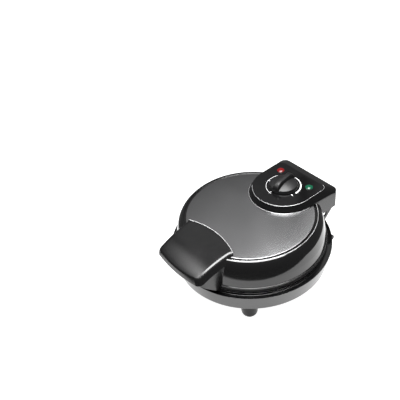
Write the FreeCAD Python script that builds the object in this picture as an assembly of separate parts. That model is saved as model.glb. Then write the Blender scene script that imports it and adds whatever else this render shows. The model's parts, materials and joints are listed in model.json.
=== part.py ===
import FreeCAD, Part
import math
import os

from FreeCAD import Vector

# A round table-top donut maker for four rings, modelled closed.
# Millimetres. The table is z = 0, the handle points to -Y and the hinge is at +Y.
# Pieces are drawn about the round body's axis, and moved at the end so that the origin is under the middle
# of the whole machine.

# Moulds
ring_mould_radius = 36.5
post_radius = 9.0
mould_web = 6.0
mould_rim = 2.0
mouth_round = 0.9
plate_border = 6.0
plate_thickness = 4.0
casting_wall = 3.0
plate_gap = 1.2
bead_radius = 0.5
bead_rise = 0.4
upper_plate_inset = 2.6

# Heaters and what lies behind the plates
element_radius = 3.25
element_gap = 1.0
terminal_spread = 16.0
seat_post_radius = 3.6
shield_thickness = 0.6
shield_gap = 1.2
shield_border = 12.0
terminal_block_length = 24.0
terminal_block_depth = 16.0
terminal_block_height = 7.5
terminal_reach = 12.0
wire_radius = 1.6
wire_clearance = 0.8

# Base
foot_height = 28.0
wall = 2.5
base_edge_round = 2.0
base_brow_round = 1.2
base_lean = 5.0
shoulder_run = 5.9
shoulder_drop = 3.7
rim_lip = 1.0
rim_groove = 0.8
rim_step = 0.6
cover_thickness = 1.4
cover_gap = 0.6
cover_clearance = 0.6
flange_width = 11.0
vent_length = 34.0
vent_width = 3.0
vent_pitch = 8.0
vent_count = 5
foot_top_radius = 11.5
foot_tip_radius = 7.0
foot_inset = 13.0
hook_spread = 47.0
hook_width = 6.0
hook_drop = 14.0
hook_arm = 7.0
hook_stem = 9.0
hook_length = 19.5
hook_round = 3.2
pad_height = 2.5
pad_radius = 5.6
pad_sink = 1.0
gland_radius = 7.0
gland_flange = 2.5
gland_bore = 3.75
gland_height = 11.0

# Lid
lip_gap = 0.55
lid_groove = 0.7
flange_height = 6.0
flange_line_depth = 0.9
flange_line_width = 0.7
flange_line_pitch = 2.0
band_inset = 1.3
band_taper = 1.1
band_height = 10.8
shoulder_crown_inset = 5.6
shoulder_crown_drop = 5.6
shoulder_crown_radius = 20.0
lid_top_inset = 11.8
lid_edge_width = 1.2
lid_edge_rise = 0.3
lid_space = 9.2
deck_thickness = 2.5
deck_width = 26.0
bezel_width = 4.2
bezel_ledge = 1.2
bezel_overlap = 5.0
bezel_groove_rise = 0.9
disc_thickness = 0.8
disc_dome = 2.0
skin_clearance = 0.3

# Control panel, thermostat and knob
panel_height = 10.5
panel_brim = 2.0
panel_back_run = 16.5
panel_wall = 2.2
panel_top_radius = 41.0
panel_slope = 5.0
panel_flare = 3.5
panel_corner = 9.0
panel_edge = 1.0
knob_inset = 22.0
knob_radius = 19.5
knob_gap = 0.6
knob_skirt_height = 4.0
knob_draft = 1.6
knob_dome = 4.0
knob_bar_width = 6.5
knob_bar_rise = 5.0
knob_bar_angle = 21.0
knob_hollow_radius = 10.0
knob_hollow_depth = 2.4
spindle_radius = 3.0
spindle_clearance = 0.05
spindle_length = 20.0
thermostat_radius = 15.0
thermostat_height = 12.0
thermostat_shoulder = 2.0
neck_radius = 5.0
neck_clearance = 0.2
nut_across = 14.0
nut_height = 1.6
lamp_side_inset = 15.0
lamp_back_inset = 32.0
lamp_radius = 5.2
lamp_bezel = 0.7
lamp_rise = 2.2
lamp_collar_height = 0.5
lamp_clearance = 0.15
lamp_body_height = 4.5
fuse_radius = 2.2
fuse_length = 16.0

# Handle
handle_reach = 25.0
handle_overlap = 26.0
handle_inner_bow = 11.0
handle_outer_bow = 4.0
handle_half_width = 46.0
handle_taper = 8.0
handle_corner = 9.0
handle_rise = 3.6
handle_mid_drop = 2.5
handle_droop = 20.0
handle_skin = 2.6
handle_cover_depth = 8.0
handle_flare = 5.5
handle_shell_inset = 1.0
handle_lip = 1.5
handle_heel = 3.0
handle_floor_rise = 0.95
handle_post_radius = 4.5
handle_post_x = 24.0
handle_post_inset = 13.0
handle_screw_lift = 1.0
handle_screw_length = 9.0
handle_root_lift = 1.2

# Hinge
hinge_setback = 5.0
hinge_rise = 8.0
pin_radius = 2.5
pin_clearance = 0.05
barrel_radius = 4.5
barrel_length = 31.0
spacer_width = 2.0
side_clearance = 0.3
leaf_thickness = 2.0
leaf_height = 25.0
leaf_screw_inset = 7.0
bracket_gap = 3.5
bracket_width = 6.0
bracket_round = 6.0
bracket_corner = 5.4
bracket_drop = 14.0
bracket_foot_setback = 13.0
skirt_half_width = 47.5
skirt_wall = 2.3
skirt_rear = 2.5
skirt_clearance = 2.0
boss_drop = 14.0

# Fasteners
screw_radius = 1.8
screw_clearance = 0.15
screw_head_radius = 3.4
screw_head_height = 1.8
screw_pad_width = 26.0
screw_pad_inset = 11.0
screw_pad_thickness = 2.5
screw_grip = 3.0

# Levels and radii that follow from the sizes above
tube_radius = (ring_mould_radius - post_radius) / 2
mould_offset = ring_mould_radius + mould_web / 2
mould_rim_radius = ring_mould_radius + mould_rim
element_ring_radius = mould_offset * math.sqrt(2)
plate_radius = mould_offset * math.sqrt(2) + ring_mould_radius + plate_border
upper_plate_radius = plate_radius - upper_plate_inset
casting_depth = tube_radius + casting_wall
heater_depth = element_gap + 2 * element_radius + shield_gap + shield_thickness

underside = foot_height
cover_top = underside + cover_thickness
plate_top = cover_top + cover_gap + heater_depth + casting_depth
lower_seat = plate_top - plate_thickness
lower_element_z = plate_top - casting_depth - element_gap - element_radius
lower_shield_top = lower_element_z - element_radius - shield_gap

terminal_block_front = element_ring_radius + terminal_reach
terminal_block_back = terminal_block_front + terminal_block_depth

base_groove_radius = plate_radius + rim_groove
base_rim_radius = base_groove_radius + rim_lip + shoulder_run
base_foot_radius = base_rim_radius - base_lean
base_wall_top = plate_top - shoulder_drop

flange_low = cover_top
flange_high = flange_low + wall
base_inner_radius = base_foot_radius - wall
cover_radius = base_inner_radius - cover_clearance
cover_screw_radius = base_inner_radius - flange_width / 2
cover_screw_turns = (20, 160, 200, 340)
foot_circle_radius = cover_radius - foot_inset
gland_z = underside + gland_height

upper_face = plate_top + plate_gap
upper_seat = upper_face + plate_thickness
upper_element_z = upper_face + casting_depth + element_gap + element_radius
upper_shield_low = upper_element_z + element_radius + shield_gap
deck_low = upper_shield_low + shield_thickness + lid_space
deck_top = deck_low + deck_thickness
disc_plane = deck_top + bezel_ledge + disc_thickness

lid_inner_radius = upper_plate_radius + lid_groove
lid_rim_radius = lid_inner_radius + wall
lid_lip = plate_top + lip_gap
band_low = lid_lip + flange_height
band_top = band_low + band_height
band_low_radius = lid_rim_radius - band_inset
band_top_radius = band_low_radius - band_taper
crown_radius = lid_rim_radius - shoulder_crown_inset
crown_z = disc_plane - shoulder_crown_drop
lid_top_radius = lid_rim_radius - lid_top_inset
lid_edge_z = disc_plane + lid_edge_rise
disc_radius = lid_top_radius - bezel_width
shield_radius = upper_plate_radius - shield_border
knob_y = disc_radius - knob_inset

panel_top = disc_plane + panel_height
knob_low = panel_top + knob_gap
knob_shoulder = knob_low + knob_skirt_height
spindle_low = panel_top - spindle_length / 2
spindle_top = spindle_low + side_clearance + spindle_length

hinge_y = base_rim_radius + hinge_setback
hinge_z = plate_top + hinge_rise
skirt_low = hinge_z + bracket_round + skirt_clearance
skirt_back = hinge_y + skirt_rear
skirt_front = math.sqrt(disc_radius ** 2 - skirt_half_width ** 2)
hook_stem_back = math.sqrt(base_foot_radius ** 2 - hook_spread ** 2)
hook_back = hook_stem_back + hook_length
lamp_x = panel_top_radius - lamp_side_inset
lamp_y = skirt_back - lamp_back_inset
leaf_front = hinge_y - barrel_radius
handle_end = -(lid_rim_radius + handle_reach)
handle_inner = -(disc_radius - handle_overlap)
handle_top = disc_plane + handle_rise
screw_circle_radius = upper_plate_radius - screw_pad_inset / 2
quarter_turns = (0, 90, 180, 270)
corners = {"front_left": (-1, -1), "front_right": (1, -1), "back_left": (-1, 1), "back_right": (1, 1)}
body_shift = -(handle_end + hinge_y + bracket_round) / 2


def upright(radius, height):
    """Point of a section through the body axis."""
    return Vector(radius, 0, height)


def sideways(y, height):
    """Point of a side view, looking along X."""
    return Vector(0, y, height)


def face(place, corners):
    """Flat face inside a loop of corners. A third number in a corner is the radius that rounds it."""
    points = [place(corner[0], corner[1]) for corner in corners]
    bends = []
    for index, corner in enumerate(corners):
        point = points[index]
        if len(corner) == 2:
            bends.append((point, None, point))
            continue
        back = (points[index - 1] - point).normalize()
        ahead = (points[(index + 1) % len(points)] - point).normalize()
        half = back.getAngle(ahead) / 2
        reach = corner[2] / math.tan(half)
        middle = (back + ahead).normalize() * (corner[2] / math.sin(half) - corner[2])
        bends.append((point + back * reach, point + middle, point + ahead * reach))
    edges = []
    for index, (start, middle, end) in enumerate(bends):
        if middle:
            edges.append(Part.Arc(start, middle, end).toShape())
        following = bends[(index + 1) % len(bends)][0]
        if (following - end).Length > 1e-6:
            edges.append(Part.LineSegment(end, following).toShape())
    return Part.Face(Part.Wire(edges))


def turned(corners):
    """Section of (radius, height) corners turned about the body axis."""
    return face(upright, corners).revolve(Vector(), Vector(0, 0, 1), 360)


def drum(radius, low, high, x=0.0, y=0.0):
    """Upright cylinder."""
    return Part.makeCylinder(radius, high - low, Vector(x, y, low))


def block(x_low, x_high, y_low, y_high, z_low, z_high):
    """Box between two corners."""
    size = Vector(x_high - x_low, y_high - y_low, z_high - z_low)
    return Part.makeBox(size.x, size.y, size.z, Vector(x_low, y_low, z_low))


def rod(radius, start, end):
    """Cylinder between two points."""
    return Part.makeCylinder(radius, (end - start).Length, start, end - start)


def polar(radius, degrees):
    """Plan position on a circle about the body axis."""
    angle = math.radians(degrees)
    return radius * math.cos(angle), radius * math.sin(angle)


def mirrored(shape):
    """The same piece on the other side of the machine."""
    return shape.mirror(Vector(), Vector(1, 0, 0))


def joined(shapes):
    """One solid from overlapping solids."""
    return shapes[0].multiFuse(shapes[1:]).removeSplitter()


def screw(head_face, length, x, y, up=1):
    """Pan-head screw along Z: its head sits on head_face and its shank runs up or down."""
    axis = Vector(0, 0, up)
    seat = Vector(x, y, head_face)
    shank = Part.makeCylinder(screw_radius, length, seat, axis)
    head = Part.makeCylinder(screw_head_radius, screw_head_height, seat, axis * -1)
    return joined([shank, head])


def screw_hole(low, high, x, y):
    """Clearance hole for a screw."""
    return drum(screw_radius + screw_clearance, low, high, x, y)


def mould_plate(radius):
    """Flat cast plate with its face on z = 0, holed for the ring moulds, on three posts for the heater."""
    post_length = casting_depth + element_gap + element_radius
    posts = [drum(seat_post_radius, -post_length, -plate_thickness, *polar(element_ring_radius, turn))
             for turn in (0, 180, 270)]
    plate = joined([drum(radius, -plate_thickness, 0)] + posts)
    for x, y in mould_centres():
        plate = plate.cut(drum(mould_rim_radius, -plate_thickness, 0, x, y))
    for turn in quarter_turns:
        x, y = polar(screw_circle_radius, turn)
        plate = plate.cut(screw_hole(-plate_thickness, -plate_thickness + screw_grip, x, y))
    return plate.cut(heating_element().translated(Vector(0, 0, -post_length)))


def mould_centres():
    """Plan positions of the four rings."""
    return [(side * mould_offset, end * mould_offset) for side, end in corners.values()]


def ring_mould():
    """Cast cup for one ring about its own axis: a round trough about a flat-topped post."""
    trough_round = tube_radius - mouth_round
    cup = turned([
        (0, -casting_depth),
        (mould_rim_radius, -casting_depth, tube_radius + casting_wall / 2),
        (mould_rim_radius, 0),
        (ring_mould_radius, 0, mouth_round),
        (ring_mould_radius, -tube_radius, trough_round),
        (post_radius, -tube_radius, trough_round),
        (post_radius, 0, mouth_round),
        (0, 0)])
    bead = Part.makeTorus(ring_mould_radius + mouth_round + bead_radius, bead_radius)
    return joined([cup, bead.translated(Vector(0, 0, bead_rise - bead_radius))])


def heating_element():
    """Tubular heater bent into an open ring on z = 0, with both cold ends pointing back."""
    spread = terminal_spread / 2
    ring_end = math.sqrt(element_ring_radius ** 2 - spread ** 2)
    opening = math.degrees(math.asin(spread / element_ring_radius))
    sweep = 360 - 2 * opening
    ring = Part.makeTorus(element_ring_radius, element_radius, Vector(), Vector(0, 0, 1), 0, 360, sweep)
    ring.rotate(Vector(), Vector(0, 0, 1), 90 + opening)
    ends = []
    for x in (-spread, spread):
        bend = Vector(x, ring_end, 0)
        ends.append(Part.makeSphere(element_radius, bend))
        ends.append(rod(element_radius, bend, Vector(x, terminal_block_front, 0)))
    return joined([ring] + ends)


def pads(low, high, outer_radius):
    """Four pads inside a shell, on which a plate is screwed down."""
    half = screw_pad_width / 2
    inner_radius = screw_circle_radius - screw_pad_inset / 2
    ring = drum(outer_radius, low, high).cut(drum(inner_radius, low, high))
    along_x = block(-outer_radius, outer_radius, -half, half, low, high)
    along_y = block(-half, half, -outer_radius, outer_radius, low, high)
    shape = ring.common(along_x.fuse(along_y))
    for degrees in quarter_turns:
        x, y = polar(screw_circle_radius, degrees)
        shape = shape.cut(screw_hole(low, high, x, y))
    return shape


def plate_screws(head_face, up):
    """The four screws that hold a plate to its pads."""
    length = screw_pad_thickness + screw_grip - screw_clearance
    return Part.makeCompound([screw(head_face, length, *polar(screw_circle_radius, turn), up)
                              for turn in quarter_turns])


def heat_shield(low):
    """Thin reflector disc behind a heater, with a slot for the leads."""
    shield = drum(shield_radius, low, low + shield_thickness)
    half = terminal_block_length / 2 + wire_clearance
    back = terminal_block_back + wire_clearance
    return shield.cut(block(-half, half, terminal_block_front, back, low, low + shield_thickness))


def terminal_block(level):
    """Ceramic block into which both ends of a heater run."""
    half = terminal_block_length / 2
    low = level - terminal_block_height / 2
    high = low + terminal_block_height
    body = block(-half, half, terminal_block_front, terminal_block_back, low, high)
    for x in (-half / 2, half / 2):
        body = body.cut(drum(screw_radius, level, high, x, terminal_block_front + terminal_block_depth / 4))
    return body


# Base
def base_outside():
    """Corners of the base's outer section, from its foot edge up to the groove round the plate."""
    return [(base_foot_radius, underside, base_edge_round),
            (base_rim_radius, base_wall_top, base_brow_round),
            (base_groove_radius + rim_lip, base_wall_top),
            (base_groove_radius + rim_lip, plate_top - rim_step, rim_lip / 2)]


def base_form():
    """Outside of the base as a full solid."""
    return turned([(0, underside)] + base_outside() + [(0, plate_top - rim_step)])


def make_base_housing():
    """Bowl of the base: leaning wall, ledge and lip round the plate, inner flange and screw pads."""
    shell = turned([
        (base_inner_radius, underside),
        *base_outside(),
        (base_groove_radius, plate_top - rim_step),
        (base_groove_radius, base_wall_top - wall),
        (base_rim_radius - wall, base_wall_top - wall),
        (base_inner_radius, flange_high),
        (base_inner_radius - flange_width, flange_high),
        (base_inner_radius - flange_width, flange_low),
        (base_inner_radius, flange_low)])
    seats = pads(lower_seat - screw_pad_thickness, lower_seat, base_groove_radius + wall)
    shell = joined([shell, seats])
    for turn in cover_screw_turns:
        shell = shell.cut(screw_hole(flange_low, flange_high, *polar(cover_screw_radius, turn)))
    inside = Vector(0, base_inner_radius - wall, gland_z)
    outside = Vector(0, base_rim_radius, gland_z)
    return shell.cut(rod(gland_radius, inside, outside))


def make_bottom_cover():
    """Flat cover under the base, with vent slots."""
    cover = drum(cover_radius, underside, cover_top)
    for turn in cover_screw_turns:
        cover = cover.cut(screw_hole(underside, cover_top, *polar(cover_screw_radius, turn)))
    for index in range(vent_count):
        y = (index - (vent_count - 1) / 2) * vent_pitch
        ends = (-vent_length / 2, vent_length / 2, y - vent_width / 2, y + vent_width / 2)
        cover = cover.cut(block(*ends, underside, cover_top))
    return cover


def make_cover_screws():
    """Screws that hold the cover to the base's inner flange."""
    length = cover_thickness + wall
    return Part.makeCompound([screw(underside, length, *polar(cover_screw_radius, turn))
                              for turn in cover_screw_turns])


def make_foot(x, y):
    """Tapered foot under the cover, hollowed for its rubber pad."""
    foot = Part.makeCone(foot_tip_radius, foot_top_radius, underside - pad_height, Vector(x, y, pad_height))
    return foot.cut(drum(pad_radius, pad_height, pad_height + pad_sink, x, y))


def make_foot_pad(x, y):
    """Rubber pad let into the foot."""
    pad = drum(pad_radius, 0, pad_height + pad_sink, x, y)
    return pad.makeFillet(pad_height / 2, [edge for edge in pad.Edges if edge.BoundBox.ZMax < 1e-6])


def make_bracket():
    """Black ear at the back of the base that carries one end of the hinge pin."""
    inner = barrel_length + spacer_width / 2 + bracket_gap
    low = plate_top - bracket_drop
    front = hinge_y - bracket_round - spacer_width
    back = hinge_y + bracket_round
    outline = face(sideways, [
        (base_foot_radius - bracket_foot_setback, low),
        (hinge_y - bracket_foot_setback, low, wall),
        (back, hinge_z - bracket_round / 2, wall),
        (back, hinge_z + bracket_round, bracket_corner),
        (front, hinge_z + bracket_round, bracket_corner),
        (front, base_wall_top),
        (base_foot_radius - bracket_foot_setback, base_wall_top)])
    ear = outline.extrude(Vector(bracket_width, 0, 0)).translated(Vector(inner, 0, 0)).cut(base_form())
    reach = Vector(inner + bracket_width - wall, hinge_y, hinge_z)
    return ear.cut(rod(pin_radius, Vector(inner, hinge_y, hinge_z), reach))


def make_cord_hook():
    """Hook under the back of the base, round which the supply lead is wound."""
    low = underside - hook_drop
    front = hook_stem_back - hook_stem
    outline = face(sideways, [
        (front, underside),
        (front, low, hook_round),
        (hook_back, low, hook_round),
        (hook_back, low + hook_arm, hook_round),
        (hook_stem_back, low + hook_arm, hook_round / 2),
        (hook_stem_back, underside)])
    return outline.extrude(Vector(hook_width, 0, 0)).translated(Vector(hook_spread - hook_width / 2, 0, 0))


def make_hinge_pin():
    """Steel pin through both ears."""
    half = barrel_length + spacer_width / 2 + bracket_gap + bracket_width - wall
    return rod(pin_radius, Vector(-half, hinge_y, hinge_z), Vector(half, hinge_y, hinge_z))


def make_hinge_spacer():
    """Black washer between the two barrels."""
    half = spacer_width / 2
    ends = Vector(-half, hinge_y, hinge_z), Vector(half, hinge_y, hinge_z)
    return rod(barrel_radius, *ends).cut(rod(pin_radius, *ends))


def make_cord_gland():
    """Flanged bush in the back wall where the supply lead enters."""
    inside = Vector(0, base_inner_radius - 2 * wall, gland_z)
    outside = Vector(0, base_rim_radius + gland_flange, gland_z)
    bush = rod(gland_radius, inside, outside)
    collar = rod(gland_radius + gland_flange, Vector(0, base_rim_radius, gland_z), outside)
    return joined([bush, collar.cut(base_form())]).cut(rod(gland_bore, inside, outside))


def make_base_wiring():
    """Two insulated leads from the terminal block to the gland."""
    gland = make_cord_gland()
    block_space = terminal_block(lower_element_z)
    leads = []
    for side in (-1, 1):
        start = Vector(side * terminal_block_length / 4, terminal_block_back - wire_radius, lower_element_z)
        end = Vector(side * (wire_radius + wire_clearance / 4), base_inner_radius - wall, gland_z)
        leads.append(rod(wire_radius, start, end).cut(gland).cut(block_space).Solids[0])
    return Part.makeCompound(leads)


# Lid
def lid_outside():
    """Corners of the lid's outer section, from the lip up to the top edge."""
    corners = [(lid_rim_radius, lid_lip)]
    for line in (1, 2):
        low = lid_lip + line * flange_line_pitch - flange_line_width
        corners.append((lid_rim_radius, low))
        corners.append((lid_rim_radius - flange_line_depth, low))
        corners.append((lid_rim_radius - flange_line_depth, low + flange_line_width))
        corners.append((lid_rim_radius, low + flange_line_width))
    corners.append((lid_rim_radius, band_low, band_inset / 2))
    corners.append((band_low_radius, band_low))
    corners.append((band_top_radius, band_top))
    corners.append((crown_radius, crown_z, shoulder_crown_radius))
    corners.append((lid_top_radius, lid_edge_z, lid_edge_width / 3))
    return corners


def lid_body():
    """Outside of the lid as a full solid."""
    return turned(lid_outside() + [(0, lid_edge_z), (0, lid_lip)])


def lid_form():
    """Outside of the lid with the stainless disc's dome on it."""
    return lid_body().fuse(make_disc_cap())


def lid_core():
    """Space inside the lid, half a wall under its skin."""
    half_wall = wall / 2
    roof = deck_low + deck_thickness / 2
    return turned([
        (0, lid_lip),
        (band_top_radius - half_wall, lid_lip),
        (band_top_radius - half_wall, band_top),
        (crown_radius - half_wall, crown_z - half_wall),
        (lid_top_radius, roof),
        (0, roof)])


def make_disc_cap():
    """Shallow dome under the top face of the disc."""
    ball_radius = (disc_radius ** 2 + disc_dome ** 2) / (2 * disc_dome)
    ball = Part.makeSphere(ball_radius, Vector(0, 0, disc_plane + disc_dome - ball_radius))
    return ball.common(drum(disc_radius, deck_top, disc_plane + disc_dome))


def make_lid_housing():
    """Dome of the lid: stepped rim, upright band, shoulder, deck under the disc, pads and hinge boss."""
    deck_radius = lid_top_radius - deck_width
    shell = turned(lid_outside() + [
        (lid_top_radius - lid_edge_width, lid_edge_z),
        (lid_top_radius - lid_edge_width, deck_top),
        (deck_radius, deck_top),
        (deck_radius, deck_low),
        (lid_top_radius - wall, deck_low),
        (crown_radius - wall, crown_z - wall),
        (band_top_radius - wall, band_top),
        (band_low_radius - wall, band_low),
        (lid_inner_radius, upper_seat),
        (lid_inner_radius, lid_lip)])
    seats = pads(upper_seat, upper_seat + screw_pad_thickness, lid_inner_radius + wall / 2)
    half = barrel_length + spacer_width / 2 + side_clearance
    boss_low = skirt_low + skirt_clearance
    boss = block(-half, half, disc_radius, leaf_front, boss_low, boss_low + boss_drop).cut(lid_core())
    shell = joined([shell, seats, boss])
    for x, z in leaf_screw_places():
        mouth = Vector(x, leaf_front, z)
        shell = shell.cut(rod(screw_radius, mouth - Vector(0, screw_grip, 0), mouth))
    return shell.cut(thermostat_well())


def thermostat_well():
    """Round opening through the lid's deck and disc for the thermostat."""
    return drum(thermostat_radius + cover_thickness, deck_low, panel_top, 0, knob_y)


def make_lid_bezel():
    """Black ring let in round the disc, with the groove that sets the disc off."""
    outer = lid_top_radius - lid_edge_width
    groove_z = deck_top + bezel_ledge + bezel_groove_rise - disc_thickness
    ring = turned([
        (disc_radius - bezel_overlap, deck_top),
        (outer, deck_top),
        (outer, groove_z),
        (disc_radius + skin_clearance, groove_z),
        (disc_radius + skin_clearance, deck_top + bezel_ledge),
        (disc_radius - bezel_overlap, deck_top + bezel_ledge)])
    cap = make_disc_cap()
    sheet = cap.cut(cap.translated(Vector(0, 0, -disc_thickness)))
    return ring.cut(sheet).cut(thermostat_well())


def make_lid_disc():
    """Brushed stainless disc on top of the lid, slightly domed."""
    cap = make_disc_cap()
    under = cap.translated(Vector(0, 0, -disc_thickness))
    return cap.cut(under).cut(drum(disc_radius, deck_top, deck_top + bezel_ledge)).cut(thermostat_well())


# Control panel
def panel_outline(level, inset, slope):
    """Plan of the panel at a height: round front about the knob, straight sides and a square back."""
    radius = panel_top_radius + slope - inset
    back = skirt_back - inset - panel_back_run * (1 - slope / panel_slope)
    half_back = radius + panel_flare * slope / panel_slope
    corner = panel_corner - inset
    start = Vector(radius, knob_y, level)
    front = Vector(0, knob_y - radius, level)
    left = Vector(-radius, knob_y, level)
    arc = Part.Arc(start, front, left).toShape()
    cut = corner * (1 - math.sqrt(0.5))
    low_left = Vector(-half_back, back - corner, level)
    left_end = Vector(-half_back + corner, back, level)
    left_mid = Vector(-half_back + cut, back - cut, level)
    right_end = Vector(half_back - corner, back, level)
    low_right = Vector(half_back, back - corner, level)
    right_mid = Vector(half_back - cut, back - cut, level)
    edges = [arc,
             Part.LineSegment(left, low_left).toShape(),
             Part.Arc(low_left, left_mid, left_end).toShape(),
             Part.LineSegment(left_end, right_end).toShape(),
             Part.Arc(right_end, right_mid, low_right).toShape(),
             Part.LineSegment(low_right, start).toShape()]
    return Part.Wire(edges)


def panel_block(inset, high):
    """Panel solid from the disc up to a height, drawn in by an inset."""
    brim_top = disc_plane + panel_brim
    low = panel_outline(disc_plane, inset, panel_slope)
    brim = panel_outline(brim_top, inset, panel_slope)
    top = panel_outline(high, inset, 0.0)
    return joined([Part.makeLoft([low, brim], True), Part.makeLoft([brim, top], True)])


def make_control_panel():
    """Raised housing on the back of the lid that holds the thermostat and the lamps."""
    brow = panel_top - panel_edge
    edge = Part.makeLoft([panel_outline(brow, 0.0, 0.0), panel_outline(panel_top, panel_edge, 0.0)], True)
    outside = joined([panel_block(0.0, brow), edge])
    inside = panel_block(panel_wall, panel_top - panel_wall)
    shell = outside.cut(inside).cut(lid_form())
    shell = shell.cut(drum(neck_radius + neck_clearance, disc_plane, panel_top, 0, knob_y))
    for x in (-lamp_x, lamp_x):
        shell = shell.cut(drum(lamp_radius, disc_plane, panel_top, x, lamp_y))
    return shell


def make_hinge_skirt():
    """Hollow block under the back of the panel that hides the hinge leaves."""
    inner = skirt_half_width - skirt_wall
    outside = block(-skirt_half_width, skirt_half_width, skirt_front, skirt_back, skirt_low, disc_plane)
    corners = [edge for edge in outside.Edges if edge.BoundBox.ZLength > 1 and edge.BoundBox.YMin > hinge_y]
    outside = outside.makeFillet(panel_corner / 2, corners)
    inside = block(-inner, inner, skirt_front, skirt_back - skirt_wall, skirt_low, disc_plane)
    return outside.cut(inside).cut(lid_body())


def make_thermostat():
    """Thermostat body with the threaded neck that clamps it to the panel."""
    neck_low = panel_top - panel_wall
    body_top = neck_low - neck_radius
    body = drum(thermostat_radius, body_top - thermostat_height, body_top, 0, knob_y)
    shoulder = drum(neck_radius + thermostat_shoulder, body_top, neck_low, 0, knob_y)
    neck = drum(neck_radius, neck_low, panel_top + nut_height, 0, knob_y)
    shape = joined([body, shoulder, neck])
    bore = drum(spindle_radius + spindle_clearance, spindle_low, panel_top + nut_height, 0, knob_y)
    return shape.cut(bore)


def make_thermostat_nut():
    """Hexagon nut on the neck, hidden under the knob."""
    radius = nut_across / math.sqrt(3)
    points = [Vector(*polar(radius, 60 * turn), panel_top) + Vector(0, knob_y, 0) for turn in range(7)]
    nut = Part.Face(Part.makePolygon(points)).extrude(Vector(0, 0, nut_height))
    return nut.cut(drum(neck_radius, panel_top, panel_top + nut_height, 0, knob_y))


def make_spindle():
    """Spindle of the thermostat, which the knob is pushed on."""
    return drum(spindle_radius, spindle_low + side_clearance, spindle_top, 0, knob_y)


def make_knob():
    """Round knob with a low dome and a raised grip bar across it."""
    top_radius = knob_radius - knob_draft
    skirt = Part.makeCone(knob_radius, top_radius, knob_skirt_height, Vector(0, knob_y, knob_low))
    ball_radius = (top_radius ** 2 + knob_dome ** 2) / (2 * knob_dome)
    ball = Part.makeSphere(ball_radius, Vector(0, knob_y, knob_shoulder + knob_dome - ball_radius))
    dome = ball.common(drum(top_radius, knob_shoulder, knob_shoulder + knob_dome, 0, knob_y))
    bar_top = knob_shoulder + knob_dome + knob_bar_rise
    half = knob_bar_width / 2
    bar = block(-half, half, -knob_radius, knob_radius, knob_low, bar_top)
    ends = [edge for edge in bar.Edges if edge.BoundBox.XLength > 1 and edge.BoundBox.ZMin > bar_top - 1e-3]
    bar = bar.makeFillet(knob_bar_rise, ends)
    bar.rotate(Vector(), Vector(0, 0, 1), knob_bar_angle)
    bar = bar.translated(Vector(0, knob_y, 0)).common(drum(knob_radius, knob_low, bar_top, 0, knob_y))
    knob = joined([skirt, dome, bar])
    hollow = drum(knob_hollow_radius, knob_low, knob_low + knob_hollow_depth, 0, knob_y)
    return knob.cut(hollow).cut(drum(spindle_radius, knob_low, spindle_top, 0, knob_y))


def make_lamp_lens(x):
    """Domed lens of a signal lamp, with its collar on the panel."""
    collar_radius = lamp_radius + lamp_bezel
    stem = drum(lamp_radius - lamp_clearance, panel_top - panel_wall, panel_top, x, lamp_y)
    collar = drum(collar_radius, panel_top, panel_top + lamp_collar_height, x, lamp_y)
    ball_radius = (lamp_radius ** 2 + lamp_rise ** 2) / (2 * lamp_rise)
    ball = Part.makeSphere(ball_radius, Vector(x, lamp_y, panel_top + lamp_rise - ball_radius))
    dome = ball.common(drum(lamp_radius, panel_top, panel_top + lamp_rise, x, lamp_y))
    return joined([stem, collar, dome])


def make_lamp_holder(x):
    """Neon lamp behind a lens."""
    high = panel_top - panel_wall
    return drum(lamp_radius - lamp_clearance, high - lamp_body_height, high, x, lamp_y)


def make_lid_wiring():
    """Leads from the lid's terminal block up to the thermostat, and from the thermostat to both lamps."""
    thermostat = make_thermostat()
    block_space = terminal_block(upper_element_z)
    block_top = upper_element_z + terminal_block_height / 2
    body_low = panel_top - panel_wall - neck_radius - thermostat_height
    leads = []
    for x in (-2 * wire_radius, 2 * wire_radius):
        start = Vector(x, terminal_block_front + terminal_block_depth / 2, block_top - wire_radius)
        end = Vector(x, knob_y + thermostat_radius / 2, body_low + wire_radius)
        leads.append(rod(wire_radius, start, end).cut(block_space).cut(thermostat))
    level = panel_top - panel_wall - lamp_body_height + wire_radius
    for x in (-lamp_x, lamp_x):
        lead = rod(wire_radius / 2, Vector(0, knob_y, level - neck_radius), Vector(x, lamp_y, level))
        leads.append(lead.cut(thermostat).cut(make_lamp_holder(x)))
    return Part.makeCompound([solid for lead in leads for solid in lead.Solids[:1]])


def make_thermal_fuse():
    """One-shot fuse clipped to the back of the upper plate, in the middle."""
    level = upper_seat + fuse_radius
    return rod(fuse_radius, Vector(-fuse_length / 2, 0, level), Vector(fuse_length / 2, 0, level))


# Hinge leaves
def leaf_screw_places():
    """Where the four screws hold the leaves to the boss."""
    level = skirt_low + skirt_clearance + boss_drop / 2
    near = spacer_width / 2 + side_clearance + leaf_screw_inset
    far = near + barrel_length - 2 * leaf_screw_inset
    return [(x, level) for x in (-far, -near, near, far)]


def make_hinge_leaf():
    """Steel leaf rolled into a barrel round the pin and screwed to the lid's boss."""
    start = spacer_width / 2 + side_clearance
    end = start + barrel_length
    barrel = rod(barrel_radius, Vector(start, hinge_y, hinge_z), Vector(end, hinge_y, hinge_z))
    plate = block(start, end, leaf_front, leaf_front + leaf_thickness, hinge_z, hinge_z + leaf_height)
    leaf = joined([barrel, plate])
    bore = pin_radius + pin_clearance
    leaf = leaf.cut(rod(bore, Vector(start, hinge_y, hinge_z), Vector(end, hinge_y, hinge_z)))
    for x, z in leaf_screw_places()[2:]:
        hole = rod(screw_radius + screw_clearance, Vector(x, leaf_front, z), Vector(x, hinge_y, z))
        leaf = leaf.cut(hole)
    return leaf


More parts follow.
